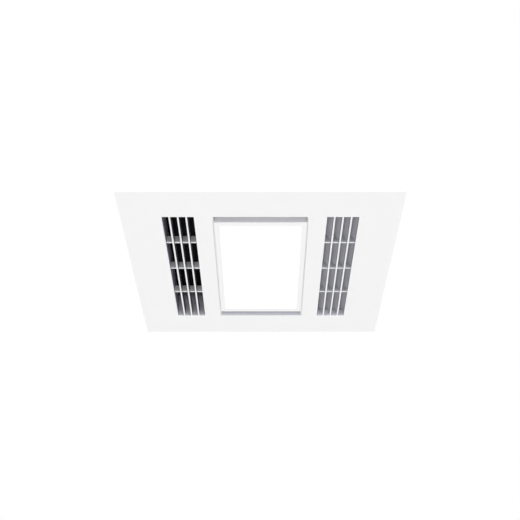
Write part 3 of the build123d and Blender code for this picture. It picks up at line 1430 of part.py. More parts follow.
# Supply box on top of the housing, with its lid, terminal block and cable gland
supply_left = supply_x - supply_length / 2
supply_top = housing_height + supply_height
gland_z = housing_height + supply_height / 2
boss_x = supply_length / 2 - supply_wall - supply_boss_inset
boss_y = supply_width / 2 - supply_wall - supply_boss_inset
with BuildPart() as supply_box:
    with BuildSketch(Plane.XY.offset(housing_height)):
        with Locations((supply_x, supply_y)):
            RectangleRounded(supply_length, supply_width, 2 * supply_wall)
    extrude(amount=supply_height)
    with BuildSketch(Plane.XY.offset(housing_height + supply_wall)):
        with Locations((supply_x, supply_y)):
            RectangleRounded(supply_length - 2 * supply_wall, supply_width - 2 * supply_wall, supply_wall)
    extrude(amount=supply_height - supply_wall, mode=Mode.SUBTRACT)
    with BuildSketch(Plane.XY.offset(housing_height)):
        with Locations((supply_x, supply_y)):
            with GridLocations(2 * boss_x, 2 * boss_y, 2, 2):
                Circle(supply_boss_radius)
    extrude(amount=supply_height)
    with BuildSketch(Plane.XY.offset(supply_top)):
        with Locations((supply_x, supply_y)):
            with GridLocations(2 * boss_x, 2 * boss_y, 2, 2):
                Circle(screw_radius + running_gap)
    extrude(amount=-supply_height / 2, mode=Mode.SUBTRACT)
    with BuildSketch(Plane.XY.offset(housing_height)):
        with Locations((wire_x, wire_y)):
            Circle(wire_hole)
        with Locations(*supply_screw_places):
            Circle(screw_radius + screw_hole_gap)
    extrude(amount=supply_wall, mode=Mode.SUBTRACT)
    # Open side for the gland plate
    open_y = (supply_y - gland_plate_width / 2, supply_y + gland_plate_width / 2)
    open_z = (housing_height + supply_wall, supply_top)
    block((supply_left, supply_left + supply_wall), open_y, open_z, mode=Mode.SUBTRACT)
supply_box.part.label = "supply_box"
export_step(supply_box.part, "parts/supply_box.step")

# Gland plate: slides down into the open side of the box, with rails behind the edges of its walls
with BuildPart() as gland_plate:
    plate_half = gland_plate_width / 2 - fit_gap
    block((supply_left, supply_left + supply_wall), (supply_y - plate_half, supply_y + plate_half), open_z)
    rail_x = (supply_left + supply_wall, supply_left + supply_wall + gland_rail_sheet)
    for side in (-1, 1):
        rail_edges = (plate_half - gland_rail_width, plate_half + gland_rail_width)
        rail_y = sorted(supply_y + side * edge for edge in rail_edges)
        block(rail_x, rail_y, open_z)
    with BuildSketch(Plane.YZ.offset(supply_left)):
        with Locations((supply_y, gland_z)):
            Circle(gland_radius + running_gap)
    extrude(amount=supply_wall, mode=Mode.SUBTRACT)
gland_plate.part.label = "gland_plate"
export_step(gland_plate.part, "parts/gland_plate.step")

with BuildPart() as supply_cover:
    with BuildSketch(Plane.XY.offset(supply_top)):
        with Locations((supply_x, supply_y)):
            RectangleRounded(supply_length, supply_width, 2 * supply_wall)
            with GridLocations(2 * boss_x, 2 * boss_y, 2, 2):
                Circle(screw_radius + screw_hole_gap, mode=Mode.SUBTRACT)
    extrude(amount=supply_lid)
    fillet(supply_cover.faces().sort_by(Axis.Z)[-1].outer_wire().edges(), radius=supply_lid_round)
supply_cover.part.label = "supply_cover"
export_step(supply_cover.part, "parts/supply_cover.step")
lid_places = []
for x in (supply_x - boss_x, supply_x + boss_x):
    for y in (supply_y - boss_y, supply_y + boss_y):
        lid_places.append((x, y, supply_top + supply_lid))
supply_cover_screw = pan_screw(supply_lid + supply_height / 3)
with BuildPart() as supply_cover_screws:
    with Locations(*lid_places):
        add(supply_cover_screw)
supply_cover_screws.part.label = "supply_cover_screws"
export_step(supply_cover_screws.part, "parts/supply_cover_screws.step")

# Cable gland: threaded body through the wall of the box, with a nut inside and a domed cap outside
gland_centre = (supply_left, supply_y, gland_z)
gland_plane = Plane(gland_centre, (0, 1, 0), (-1, 0, 0))
with BuildPart() as cable_gland:
    with BuildSketch(gland_plane):
        RegularPolygon(gland_nut, 6)
    extrude(amount=gland_nut_height)
    with BuildSketch(gland_plane.offset(gland_nut_height)):
        Circle(gland_radius + gland_cap_rim)
    extrude(amount=gland_outside - gland_nut_height)
    fillet(cable_gland.faces().sort_by(Axis.X)[0].edges(), radius=gland_round)
    with BuildSketch(gland_plane):
        Circle(gland_radius)
    extrude(amount=-3 * supply_wall)
    with BuildSketch(gland_plane.offset(-supply_wall)):
        RegularPolygon(gland_nut, 6)
    extrude(amount=-2 * supply_wall)
    with BuildSketch(gland_plane.offset(gland_outside)):
        Circle(gland_bore)
    extrude(amount=-gland_outside - 3 * supply_wall, mode=Mode.SUBTRACT)
cable_gland.part.label = "cable_gland"
export_step(cable_gland.part, "parts/cable_gland.step")

block_x = supply_x - block_shift
block_y = supply_y - supply_width / 2 + supply_wall + block_width / 2 + block_wall_gap
block_z = housing_height + supply_wall
with BuildPart() as terminal_block:
    with BuildSketch(Plane.XY.offset(block_z)):
        with Locations((block_x, block_y)):
            Rectangle(block_poles * block_pitch, block_width)
    extrude(amount=block_height / 2)
    with BuildSketch(Plane.XY.offset(block_z + block_height / 2)):
        with Locations((block_x, block_y)):
            with GridLocations(block_pitch, 0, block_poles, 1):
                Rectangle(block_pitch - block_groove, block_width - 2 * block_step)
    extrude(amount=block_height / 2)
    with BuildSketch(Plane.XY.offset(block_z + block_height)):
        with Locations((block_x, block_y)):
            with GridLocations(block_pitch, block_width / 2, block_poles, 2):
                Circle(block_screw_radius)
    extrude(amount=-block_height / 2, mode=Mode.SUBTRACT)
terminal_block.part.label = "terminal_block"
export_step(terminal_block.part, "parts/terminal_block.step")

# Run capacitor, strapped to the top of the housing
capacitor_z = housing_height + fit_gap + capacitor_radius
with BuildPart() as run_capacitor:
    with BuildSketch(Plane.YZ.offset(supply_x - capacitor_length / 2)):
        with Locations((capacitor_y, capacitor_z)):
            Circle(capacitor_radius)
    extrude(amount=capacitor_length)
    fillet(run_capacitor.edges().filter_by(GeomType.CIRCLE), radius=capacitor_round)
    with BuildSketch(Plane.YZ.offset(supply_x + capacitor_length / 2)):
        with Locations((capacitor_y, capacitor_z)):
            with GridLocations(capacitor_radius, 0, 2, 1):
                Rectangle(terminal_sheet, terminal_width)
    extrude(amount=terminal_length)
run_capacitor.part.label = "run_capacitor"
export_step(run_capacitor.part, "parts/run_capacitor.step")

strap_inner = capacitor_radius + fit_gap
with BuildPart() as capacitor_strap:
    with BuildSketch(Plane.YZ.offset(supply_x - strap_width / 2)):
        with Locations((capacitor_y, capacitor_z)):
            Circle(strap_foot)
            Rectangle(2 * strap_foot, strap_foot, align=(Align.CENTER, Align.MAX), mode=Mode.SUBTRACT)
        with Locations((capacitor_y, (housing_height + capacitor_z) / 2)):
            Rectangle(2 * strap_foot, capacitor_z - housing_height)
        with Locations((capacitor_y, capacitor_z)):
            Circle(strap_inner, mode=Mode.SUBTRACT)
        with Locations((capacitor_y, (housing_height + capacitor_z) / 2)):
            Rectangle(2 * strap_inner, capacitor_z - housing_height, mode=Mode.SUBTRACT)
        with Locations((capacitor_y, housing_height + strap_sheet / 2)):
            with GridLocations(2 * strap_screw_y, 0, 2, 1):
                Rectangle(strap_width, strap_sheet)
    extrude(amount=strap_width)
    with BuildSketch(Plane.XY.offset(housing_height)):
        with Locations(*strap_screw_places):
            Circle(screw_radius + screw_hole_gap)
    extrude(amount=strap_sheet, mode=Mode.SUBTRACT)
capacitor_strap.part.label = "capacitor_strap"
export_step(capacitor_strap.part, "parts/capacitor_strap.step")

# Four alike screws hold the supply box and the strap on the top
roof_screw_places = [(x, y, housing_height + supply_wall) for x, y in supply_screw_places]
roof_screw_places += [(x, y, housing_height + strap_sheet) for x, y in strap_screw_places]
roof_screw = pan_screw(supply_wall + sheet + screw_tip)
with BuildPart() as roof_screws:
    with Locations(*roof_screw_places):
        add(roof_screw)
roof_screws.part.label = "roof_screws"
export_step(roof_screws.part, "parts/roof_screws.step")
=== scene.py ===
import bpy
import bmesh
from math import ceil, cos, pi, radians, sin
from mathutils import Matrix, Vector


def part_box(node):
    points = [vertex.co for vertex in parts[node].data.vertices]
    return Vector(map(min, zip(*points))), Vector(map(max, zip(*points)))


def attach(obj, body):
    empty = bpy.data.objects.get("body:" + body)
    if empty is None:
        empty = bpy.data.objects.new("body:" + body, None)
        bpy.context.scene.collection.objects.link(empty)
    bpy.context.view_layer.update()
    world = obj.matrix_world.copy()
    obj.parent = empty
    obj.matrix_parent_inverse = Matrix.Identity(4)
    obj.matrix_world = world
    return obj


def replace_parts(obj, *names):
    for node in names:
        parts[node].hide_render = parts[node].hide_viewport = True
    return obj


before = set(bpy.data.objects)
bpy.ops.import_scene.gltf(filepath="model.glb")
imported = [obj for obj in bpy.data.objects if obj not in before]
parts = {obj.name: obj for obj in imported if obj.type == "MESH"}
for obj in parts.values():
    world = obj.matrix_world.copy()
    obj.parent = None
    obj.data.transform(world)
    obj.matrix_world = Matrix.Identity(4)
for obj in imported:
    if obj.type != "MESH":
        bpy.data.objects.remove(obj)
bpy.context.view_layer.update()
scene = bpy.context.scene
scene.view_settings.view_transform = "Standard"

# Camera: it stands in the room, before the unit and below the ceiling, and looks up at the fascia.
# Its place and lens come from the fascia's outline in the photograph, taken as a 400 mm square.
camera_pitch = 33.4
camera_place = (0.0046, -1.098, -0.710)
camera_data = bpy.data.cameras.new("viewpoint")
camera_data.lens = 57.7
camera_data.sensor_width = 36
camera_data.shift_x = -0.0071
camera = bpy.data.objects.new("viewpoint", camera_data)
camera.location = camera_place
camera.rotation_euler = (radians(90 + camera_pitch), 0, 0)
scene.collection.objects.link(camera)
scene.camera = camera

# Studio light: an even pale room, plain white where it is seen or mirrored, and three soft lamps.
# One lies under the unit, one stands level with the fascia's near edge, and one is over the roof side.
room_level = 0.86
world = bpy.data.worlds.new("studio")
scene.world = world
world.use_nodes = True
room = world.node_tree
rays = room.nodes.new("ShaderNodeLightPath")
seen = room.nodes.new("ShaderNodeMath")
seen.operation = "MAXIMUM"
mirrored = room.nodes.new("ShaderNodeMath")
mirrored.operation = "MAXIMUM"
room.links.new(rays.outputs["Is Camera Ray"], seen.inputs[0])
room.links.new(rays.outputs["Is Transmission Ray"], seen.inputs[1])
room.links.new(seen.outputs[0], mirrored.inputs[0])
room.links.new(rays.outputs["Is Glossy Ray"], mirrored.inputs[1])
brightness = room.nodes.new("ShaderNodeMapRange")
brightness.inputs["To Min"].default_value = room_level
brightness.inputs["To Max"].default_value = 1.0
room.links.new(mirrored.outputs[0], brightness.inputs["Value"])
room.links.new(brightness.outputs[0], room.nodes["Background"].inputs["Strength"])
room.nodes["Background"].inputs["Color"].default_value = (1, 1, 1, 1)


def soft_lamp(name, place, target, side, power):
    """A square area lamp at a place, turned to a target."""
    lamp_data = bpy.data.lights.new(name, "AREA")
    lamp_data.shape = "SQUARE"
    lamp_data.size = side
    lamp_data.energy = power
    lamp = bpy.data.objects.new(name, lamp_data)
    lamp.location = place
    lamp.rotation_euler = (Vector(target) - Vector(place)).to_track_quat("-Z", "Y").to_euler()
    scene.collection.objects.link(lamp)


soft_lamp("front_lamp", (0, -2.2, 0.0), (0, 0, 0.0), 0.3, 14)
soft_lamp("under_lamp", (0, -0.2, -2.25), (0, 0, 0), 1.6, 18.5)
soft_lamp("roof_lamp", (0.9, -0.8, 1.9), (0, 0, 0.1), 1.8, 9)


# Ceiling and floor of the room, which aren't part of the unit. The ceiling lies on the flange, round a hole.
# It shows plain white from the room alone, and is clear from above, so that the roof side can be seen.
# The floor takes the soft shadow and fades to white far out.
def flat_square(name, reach, level, hole=0.0):
    """A square at one level that faces down, with a square hole where one is given."""
    shape = bmesh.new()
    cuts = [-reach, -hole, hole, reach] if hole else [-reach, reach]
    for i in range(len(cuts) - 1):
        for j in range(len(cuts) - 1):
            if hole and i == 1 and j == 1:
                continue
            corners = [(i, j), (i, j + 1), (i + 1, j + 1), (i + 1, j)]
            shape.faces.new([shape.verts.new((cuts[a], cuts[b], 0)) for a, b in corners])
    bmesh.ops.remove_doubles(shape, verts=shape.verts, dist=1e-6)
    mesh = bpy.data.meshes.new(name)
    shape.to_mesh(mesh)
    shape.free()
    square = bpy.data.objects.new(name, mesh)
    square.location.z = level
    scene.collection.objects.link(square)
    return square


ceiling_reach, ceiling_level, cut_out_gap = 1.6, 0.0004, 0.004
floor_reach, floor_level = 4.0, -2.3
ceiling = flat_square("ceiling", ceiling_reach, ceiling_level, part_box("housing")[1].x + cut_out_gap)
floor = flat_square("floor", floor_reach, floor_level)

ceiling_paint = bpy.data.materials.new("ceiling_paint")
ceiling_paint.use_nodes = True
board = ceiling_paint.node_tree
board.nodes.clear()
output = board.nodes.new("ShaderNodeOutputMaterial")
white = board.nodes.new("ShaderNodeEmission")
clear = board.nodes.new("ShaderNodeBsdfTransparent")
side = board.nodes.new("ShaderNodeNewGeometry")
path = board.nodes.new("ShaderNodeLightPath")
front = board.nodes.new("ShaderNodeMath")
front.operation = "SUBTRACT"
front.use_clamp = True
shown = board.nodes.new("ShaderNodeMixShader")
board.links.new(path.outputs["Is Camera Ray"], front.inputs[0])
board.links.new(side.outputs["Backfacing"], front.inputs[1])
board.links.new(front.outputs[0], shown.inputs[0])
board.links.new(clear.outputs[0], shown.inputs[1])
board.links.new(white.outputs[0], shown.inputs[2])
board.links.new(shown.outputs[0], output.inputs["Surface"])
ceiling.data.materials.append(ceiling_paint)

fade_start, fade_end, floor_tone = 1.0, 3.6, 0.8
floor_paint = bpy.data.materials.new("floor_paint")
floor_paint.use_nodes = True
ground = floor_paint.node_tree
ground.nodes["Principled BSDF"].inputs["Base Color"].default_value = (floor_tone, floor_tone, floor_tone, 1)
place = ground.nodes.new("ShaderNodeTexCoord")
reach = ground.nodes.new("ShaderNodeVectorMath")
reach.operation = "LENGTH"
fade = ground.nodes.new("ShaderNodeMapRange")
fade.interpolation_type = "SMOOTHSTEP"
fade.inputs["From Min"].default_value = fade_start
fade.inputs["From Max"].default_value = fade_end
path = ground.nodes.new("ShaderNodeLightPath")
share = ground.nodes.new("ShaderNodeMath")
share.operation = "MULTIPLY"
white = ground.nodes.new("ShaderNodeEmission")
shown = ground.nodes.new("ShaderNodeMixShader")
ground.links.new(place.outputs["Object"], reach.inputs[0])
ground.links.new(reach.outputs["Value"], fade.inputs["Value"])
ground.links.new(fade.outputs["Result"], share.inputs[0])
ground.links.new(path.outputs["Is Camera Ray"], share.inputs[1])
ground.links.new(share.outputs[0], shown.inputs[0])
ground.links.new(ground.nodes["Principled BSDF"].outputs[0], shown.inputs[1])
ground.links.new(white.outputs[0], shown.inputs[2])
ground.links.new(shown.outputs[0], ground.nodes["Material Output"].inputs["Surface"])
floor.data.materials.append(floor_paint)


# Ceiling flange: a flat frame of 1 mm galvanised sheet, screwed up to the joists round the cut-out.
# It is tacked to the foot of the housing with short welds, as the housing's top is to its walls.
noise_low, noise_high = 0.3, 0.7


def surface_of(name, colour, roughness, metallic=0.0, specular=0.5):
    """A new material with its shader set to one colour, roughness, metal share and specular level."""
    made = bpy.data.materials.new(name)
    made.use_nodes = True
    shader = made.node_tree.nodes["Principled BSDF"]
    shader.inputs["Base Color"].default_value = (*colour, 1)
    shader.inputs["Roughness"].default_value = roughness
    shader.inputs["Metallic"].default_value = metallic
    shader.inputs["Specular IOR Level"].default_value = specular
    return made


def grain(made, per_metre, detail=3.0, stretch=(1, 1, 1)):
    """Noise over the piece in its own metres, with a number of spots to the metre."""
    tree = made.node_tree
    place = tree.nodes.new("ShaderNodeTexCoord")
    scaled = tree.nodes.new("ShaderNodeMapping")
    scaled.inputs["Scale"].default_value = stretch
    noise = tree.nodes.new("ShaderNodeTexNoise")
    noise.inputs["Scale"].default_value = per_metre
    noise.inputs["Detail"].default_value = detail
    tree.links.new(place.outputs["Object"], scaled.inputs["Vector"])
    tree.links.new(scaled.outputs["Vector"], noise.inputs["Vector"])
    return noise.outputs["Fac"]


def tint(made, value, dark, light):
    """The base colour runs from dark to light as a value goes from a noise's low to its high level."""
    tree = made.node_tree
    ramp = tree.nodes.new("ShaderNodeValToRGB")
    ramp.color_ramp.elements[0].position = noise_low
    ramp.color_ramp.elements[1].position = noise_high
    ramp.color_ramp.elements[0].color = (*dark, 1)
    ramp.color_ramp.elements[1].color = (*light, 1)
    tree.links.new(value, ramp.inputs["Fac"])
    tree.links.new(ramp.outputs["Color"], tree.nodes["Principled BSDF"].inputs["Base Color"])


def gloss(made, value, smooth, rough):
    """The roughness runs from smooth to rough as a value goes from a noise's low to its high level."""
    tree = made.node_tree
    spread = tree.nodes.new("ShaderNodeMapRange")
    spread.inputs["From Min"].default_value = noise_low
    spread.inputs["From Max"].default_value = noise_high
    spread.inputs["To Min"].default_value = smooth
    spread.inputs["To Max"].default_value = rough
    tree.links.new(value, spread.inputs["Value"])
    tree.links.new(spread.outputs["Result"], tree.nodes["Principled BSDF"].inputs["Roughness"])


def relief(made, value, height, strength=0.4):
    """A value raises the surface by a height in metres."""
    tree = made.node_tree
    bump = tree.nodes.new("ShaderNodeBump")
    bump.inputs["Distance"].default_value = height
    bump.inputs["Strength"].default_value = strength
    tree.links.new(value, bump.inputs["Height"])
    tree.links.new(bump.outputs["Normal"], tree.nodes["Principled BSDF"].inputs["Normal"])


def finish_with(made, *names):
    """Give the named nodes a material."""
    for name in names:
        parts[name].data.materials.clear()
        parts[name].data.materials.append(made)


def new_piece(name, shape, made, body="unit", crease=35):
    """A piece from a bmesh, smooth but for its creases, with its material and body."""
    bmesh.ops.recalc_face_normals(shape, faces=shape.faces)
    mesh = bpy.data.meshes.new(name)
    shape.to_mesh(mesh)
    shape.free()
    mesh.polygons.foreach_set("use_smooth", [True] * len(mesh.polygons))
    mesh.set_sharp_from_angle(angle=radians(crease))
    mesh.materials.append(made)
    piece = bpy.data.objects.new(name, mesh)
    scene.collection.objects.link(piece)
    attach(piece, body)
    return piece


def add_rings(shape, rings, place=Matrix(), closed=False):
    """Join rings of as many points each into a skin, capped at both ends or closed from last to first."""
    rows = [[shape.verts.new(place @ Vector(point)) for point in ring] for ring in rings]
    pairs = list(zip(rows, rows[1:] + rows[:1])) if closed else list(zip(rows, rows[1:]))
    for row, following in pairs:
        for k in range(len(row)):
            after = (k + 1) % len(row)
            shape.faces.new((row[k], row[after], following[after], following[k]))
    if not closed:
        shape.faces.new(rows[0])
        shape.faces.new(rows[-1])


zinc = surface_of("galvanised_sheet", (0.45, 0.46, 0.48), 0.42, 1.0)
crystal_place = zinc.node_tree.nodes.new("ShaderNodeTexCoord")
crystals = zinc.node_tree.nodes.new("ShaderNodeTexVoronoi")
crystals.inputs["Scale"].default_value = 190
shade = zinc.node_tree.nodes.new("ShaderNodeSeparateColor")
zinc.node_tree.links.new(crystal_place.outputs["Object"], crystals.inputs["Vector"])
zinc.node_tree.links.new(crystals.outputs["Color"], shade.inputs["Color"])
tint(zinc, shade.outputs["Red"], (0.40, 0.41, 0.43), (0.46, 0.47, 0.49))
gloss(zinc, shade.outputs["Green"], 0.36, 0.5)
relief(zinc, grain(zinc, 900), 0.00004)
finish_with(zinc, "ceiling_flange")

weld_metal = surface_of("weld_metal", (0.3, 0.3, 0.31), 0.5, 1.0)
tint(weld_metal, grain(weld_metal, 400, 4.0), (0.2, 0.2, 0.21), (0.4, 0.4, 0.41))
relief(weld_metal, grain(weld_metal, 1600), 0.0001)
tack_half, tack_radius, tack_rows, tack_points = 0.007, 0.0014, 18, 10
tack_end, ripples, ripple_height = 0.98, 5, 0.07
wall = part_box("housing")[1].x
foot_level, top_level = 0.0006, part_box("housing_top")[0].z
tack_places = [(along, foot_level) for along in (-0.114, -0.038, 0.038, 0.114)]
tack_places += [(along, top_level) for along in (-0.12, -0.06, 0, 0.06, 0.12)]
tacks = bmesh.new()
for quarter in range(4):
    for along, level in tack_places:
        rings = []
        for row in range(tack_rows + 1):
            share = tack_end * (2 * row / tack_rows - 1)
            ripple = 1 + ripple_height * sin(ripples * pi * share)
            radius = tack_radius * (1 - share * share) ** 0.5 * ripple
            ring = []
            for k in range(tack_points):
                turn = 2 * pi * k / tack_points
                out, up = radius * cos(turn), radius * sin(turn)
                ring.append((wall + out, along + share * tack_half, level + up))
            rings.append(ring)
        add_rings(tacks, rings, Matrix.Rotation(quarter * pi / 2, 4, "Z"))
new_piece("tack_welds", tacks, weld_metal)

# Housing: four walls folded from one galvanised sheet, open below for the fascia and closed by its top.
# The right wall has the exhaust opening, and the far and near walls have windows for the fascia's clips.
# The near wall also has cooling slots beside the motor.
finish_with(zinc, "housing")

# Top of the housing: pressed from the same sheet, with three beads that stop it drumming.
# It is welded on the walls and carries the supply box and the run capacitor.
finish_with(zinc, "housing_top")


# Fan deck: a shelf of black-painted 1 mm sheet across the housing, with its edges turned up.
# Four screws through the housing walls hold it, and the fan stands on it.
def marbled(name, dark, light, roughness, spots=35, specular=0.5, spark=1400):
    """Moulded or painted surface: broad soft shades, patches of sheen, and the grain of its tool or spray."""
    made = surface_of(name, light, roughness, 0.0, specular)
    tint(made, grain(made, spots, 5.0), dark, light)
    gloss(made, grain(made, 260, 2.0), roughness - 0.06, roughness + 0.08)
    relief(made, grain(made, spark, 2.0), 0.00003)
    return made


deck_paint = marbled("black_paint", (0.004, 0.004, 0.005), (0.008, 0.008, 0.009), 0.62, 60, 0.1, 700)
finish_with(deck_paint, "fan_deck")

# Inlet ring and scroll casing: two black mouldings that lead the air into and out of the impeller.
# The ring is screwed under the deck, and the casing on top of it.
casing_plastic = marbled("black_casing", (0.010, 0.010, 0.011), (0.015, 0.015, 0.017), 0.5, 35, 0.2)
finish_with(casing_plastic, "inlet_ring", "scroll_casing")


# Motor: drawn steel shells round a core of stacked sheets, carried by a plate on three rubber bushes.
# Its ground shaft runs in sintered bronze bearings and holds the impeller under a nut.
def machined(name, colour, roughness, stretch=(1, 1, 1)):
    """Turned, drawn or ground metal, with fine marks along one direction."""
    made = surface_of(name, colour, roughness, 1.0)
    marks = grain(made, 180, 4.0, stretch)
    tint(made, marks, tuple(0.86 * c for c in colour), colour)
    gloss(made, marks, roughness - 0.07, roughness + 0.1)
    relief(made, grain(made, 1500, 2.0, stretch), 0.00002)
    return made


finish_with(zinc, "motor_plate")
rubber = marbled("rubber", (0.018, 0.018, 0.018), (0.03, 0.03, 0.03), 0.75)
finish_with(rubber, "motor_bushes")
shell_steel = machined("drawn_steel", (0.55, 0.56, 0.58), 0.34, (1, 1, 0.15))
finish_with(shell_steel, "motor_lower_shell", "motor_upper_shell")
core_steel = surface_of("core_sheets", (0.28, 0.28, 0.29), 0.5, 1.0)
core_place = core_steel.node_tree.nodes.new("ShaderNodeTexCoord")
edges = core_steel.node_tree.nodes.new("ShaderNodeTexWave")
edges.bands_direction = "Z"
edges.inputs["Scale"].default_value = 600
core_steel.node_tree.links.new(core_place.outputs["Object"], edges.inputs["Vector"])
tint(core_steel, edges.outputs["Fac"], (0.16, 0.16, 0.17), (0.34, 0.34, 0.35))
relief(core_steel, edges.outputs["Fac"], 0.0001)
finish_with(core_steel, "stator_core", "rotor")
shaft_steel = machined("ground_steel", (0.68, 0.68, 0.7), 0.2, (1, 1, 0.05))
finish_with(shaft_steel, "motor_shaft")
bronze = machined("sintered_bronze", (0.6, 0.4, 0.2), 0.45)
finish_with(bronze, "motor_bearings", "impeller_nut")

# Windings: enamelled copper wire in eight coils, whose ends stand out above and below the core.
# They are wound on the core, bent clear of the rotor and the shells, and dipped in varnish.
copper = machined("enamelled_copper", (0.62, 0.24, 0.09), 0.3)
wires = copper.node_tree.nodes.new("ShaderNodeTexWave")
wires.wave_type = "RINGS"
wires.rings_direction = "Z"
wires.inputs["Scale"].default_value = 350
wires.inputs["Distortion"].default_value = 1.5
wire_place = copper.node_tree.nodes.new("ShaderNodeTexCoord")
copper.node_tree.links.new(wire_place.outputs["Object"], wires.inputs["Vector"])
relief(copper, wires.outputs["Fac"], 0.0002)
core_low, core_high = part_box("stator_core")
motor_x, motor_y = (core_low.x + core_high.x) / 2, (core_low.y + core_high.y) / 2
coil_radius, coil_half_width, coil_height, coil_sink = 0.0298, 0.0026, 0.0058, 0.0006
coils, steps_per_coil, coil_points, waist = 8, 24, 16, 0.72
windings = bmesh.new()
for level, way in ((core_high.z, 1), (core_low.z, -1)):
    rings = []
    for step in range(steps_per_coil * coils):
        angle = 2 * pi * step / (steps_per_coil * coils)
        swell = waist + (1 - waist) * abs(sin(coils * angle / 2)) ** 0.5
        ring = []
        for k in range(coil_points):
            turn = 2 * pi * k / coil_points
            out = coil_radius + coil_half_width * swell * cos(turn)
            rise = coil_height * swell * (0.5 + 0.5 * sin(turn)) - coil_sink
            ring.append((motor_x + out * cos(angle), motor_y + out * sin(angle), level + way * rise))
        rings.append(ring)
    add_rings(windings, rings, closed=True)
new_piece("windings", windings, copper)

# Impeller: the hub and its curved blades are one dark grey moulding.
# It is pressed on the flat of the motor's shaft and held there by the nut.
impeller_plastic = marbled("impeller_plastic", (0.03, 0.03, 0.034), (0.042, 0.042, 0.046), 0.5)
finish_with(impeller_plastic, "impeller")

# Outlet duct: folded from galvanised sheet, it turns the air down to the outlet or on to the spigot.
# Strips of closed-cell foam seal it to the fascia and to the spigot.
finish_with(zinc, "outlet_duct")
foam = marbled("foam_strip", (0.05, 0.05, 0.05), (0.1, 0.1, 0.1), 0.85, 500, 0.3, 500)
finish_with(foam, "outlet_seal", "exhaust_seal")

# Heater: flat aluminium tubes with folded fins brazed between them, held in two heat-proof end caps.
# Three tinned blades on one cap take the supply, and a cut-out on the duct's wall guards it.
fin_strip = machined("fin_aluminium", (0.78, 0.79, 0.8), 0.28, (1, 1, 0.2))
finish_with(fin_strip, "heater_fins")
element_tube = machined("element_aluminium", (0.66, 0.67, 0.68), 0.36, (0.2, 1, 1))
finish_with(element_tube, "heater_elements")
cap_plastic = marbled("heat_plastic", (0.05, 0.05, 0.052), (0.075, 0.075, 0.078), 0.6)
finish_with(cap_plastic, "heater_end_caps", "thermal_cutout")
tinned = machined("tinned_steel", (0.8, 0.8, 0.8), 0.25, (1, 0.2, 1))
finish_with(tinned, "heater_terminals")

# Changeover damper: a galvanised flap on a steel shaft in two bushes, turned by a small geared motor.
# It sends the air down through the heater, or out through the spigot.
finish_with(zinc, "changeover_damper")
finish_with(shaft_steel, "damper_shaft")
finish_with(cap_plastic, "damper_bushes")
finish_with(shell_steel, "gear_motor")

# Duct spigot: one white moulding that turns from the oblong opening to the round duct.
# Four screws hold its plate to the housing wall.
spigot_plastic = marbled("spigot_plastic", (0.74, 0.74, 0.73), (0.80, 0.80, 0.79), 0.42)
finish_with(spigot_plastic, "duct_spigot")

# Backdraught leaves: two half-round mouldings on one steel pin across the spigot.
# The air pushes them open, and they fall shut when the fan stops.
leaf_plastic = marbled("leaf_plastic", (0.62, 0.62, 0.62), (0.70, 0.70, 0.70), 0.38)
finish_with(leaf_plastic, "backdraft_leaf_far", "backdraft_leaf_near")
finish_with(shaft_steel, "backdraft_pin")

# Supply box: a grey moulding on the roof, with a slide-in plate for the gland and a screwed lid.
# The mains cable comes in through a black nylon gland to a block of clamps inside.
box_plastic = marbled("box_plastic", (0.40, 0.42, 0.45), (0.47, 0.49, 0.52), 0.5)
finish_with(box_plastic, "supply_box", "gland_plate", "supply_cover")
gland_plastic = marbled("gland_plastic", (0.03, 0.03, 0.033), (0.045, 0.045, 0.05), 0.45)
finish_with(gland_plastic, "cable_gland")
nylon = marbled("natural_nylon", (0.76, 0.75, 0.69), (0.83, 0.82, 0.76), 0.45)
finish_with(nylon, "terminal_block")

# Run capacitor: a wound film capacitor in a white plastic can, sealed at its end with resin.
# It lies on the roof under a strap of spring steel.
can_plastic = marbled("capacitor_can", (0.72, 0.72, 0.70), (0.78, 0.78, 0.76), 0.3)
finish_with(can_plastic, "run_capacitor")
spring_strip = machined("spring_strip", (0.58, 0.59, 0.6), 0.3, (1, 0.2, 0.2))
finish_with(spring_strip, "capacitor_strap")

# Fascia: one white moulding with the intake grille, the ribs of the outlet and the pocket of the light.
# Four spring clips hold it in the housing.
# The sides of its openings and the light's pocket carry painted shade, greyer the deeper they lie.
face_plastic = marbled("white_plastic", (0.869, 0.869, 0.870), (0.875, 0.875, 0.876), 0.4)
# Painted shade: bluish greys for the light's pocket, the louvre and the intake's walls, and near black for
# the intake ribs' sides.
pocket_painted_shade = marbled("pocket_painted_shade", (0.60, 0.60, 0.65), (0.63, 0.63, 0.68), 0.5)
louvre_plastic = marbled("louvre_plastic", (0.50, 0.50, 0.545), (0.54, 0.54, 0.585), 0.55)
intake_wall_shade = marbled("intake_sides", (0.38, 0.38, 0.46), (0.42, 0.42, 0.50), 0.6)
rib_side_shade = marbled("rib_sides", (0.09, 0.09, 0.12), (0.12, 0.12, 0.15), 0.6)


def cool_grey(tone):
    """A grey with a trace of blue, as white plastic has in the shade."""
    return (tone, tone, 1.09 * tone, 1)


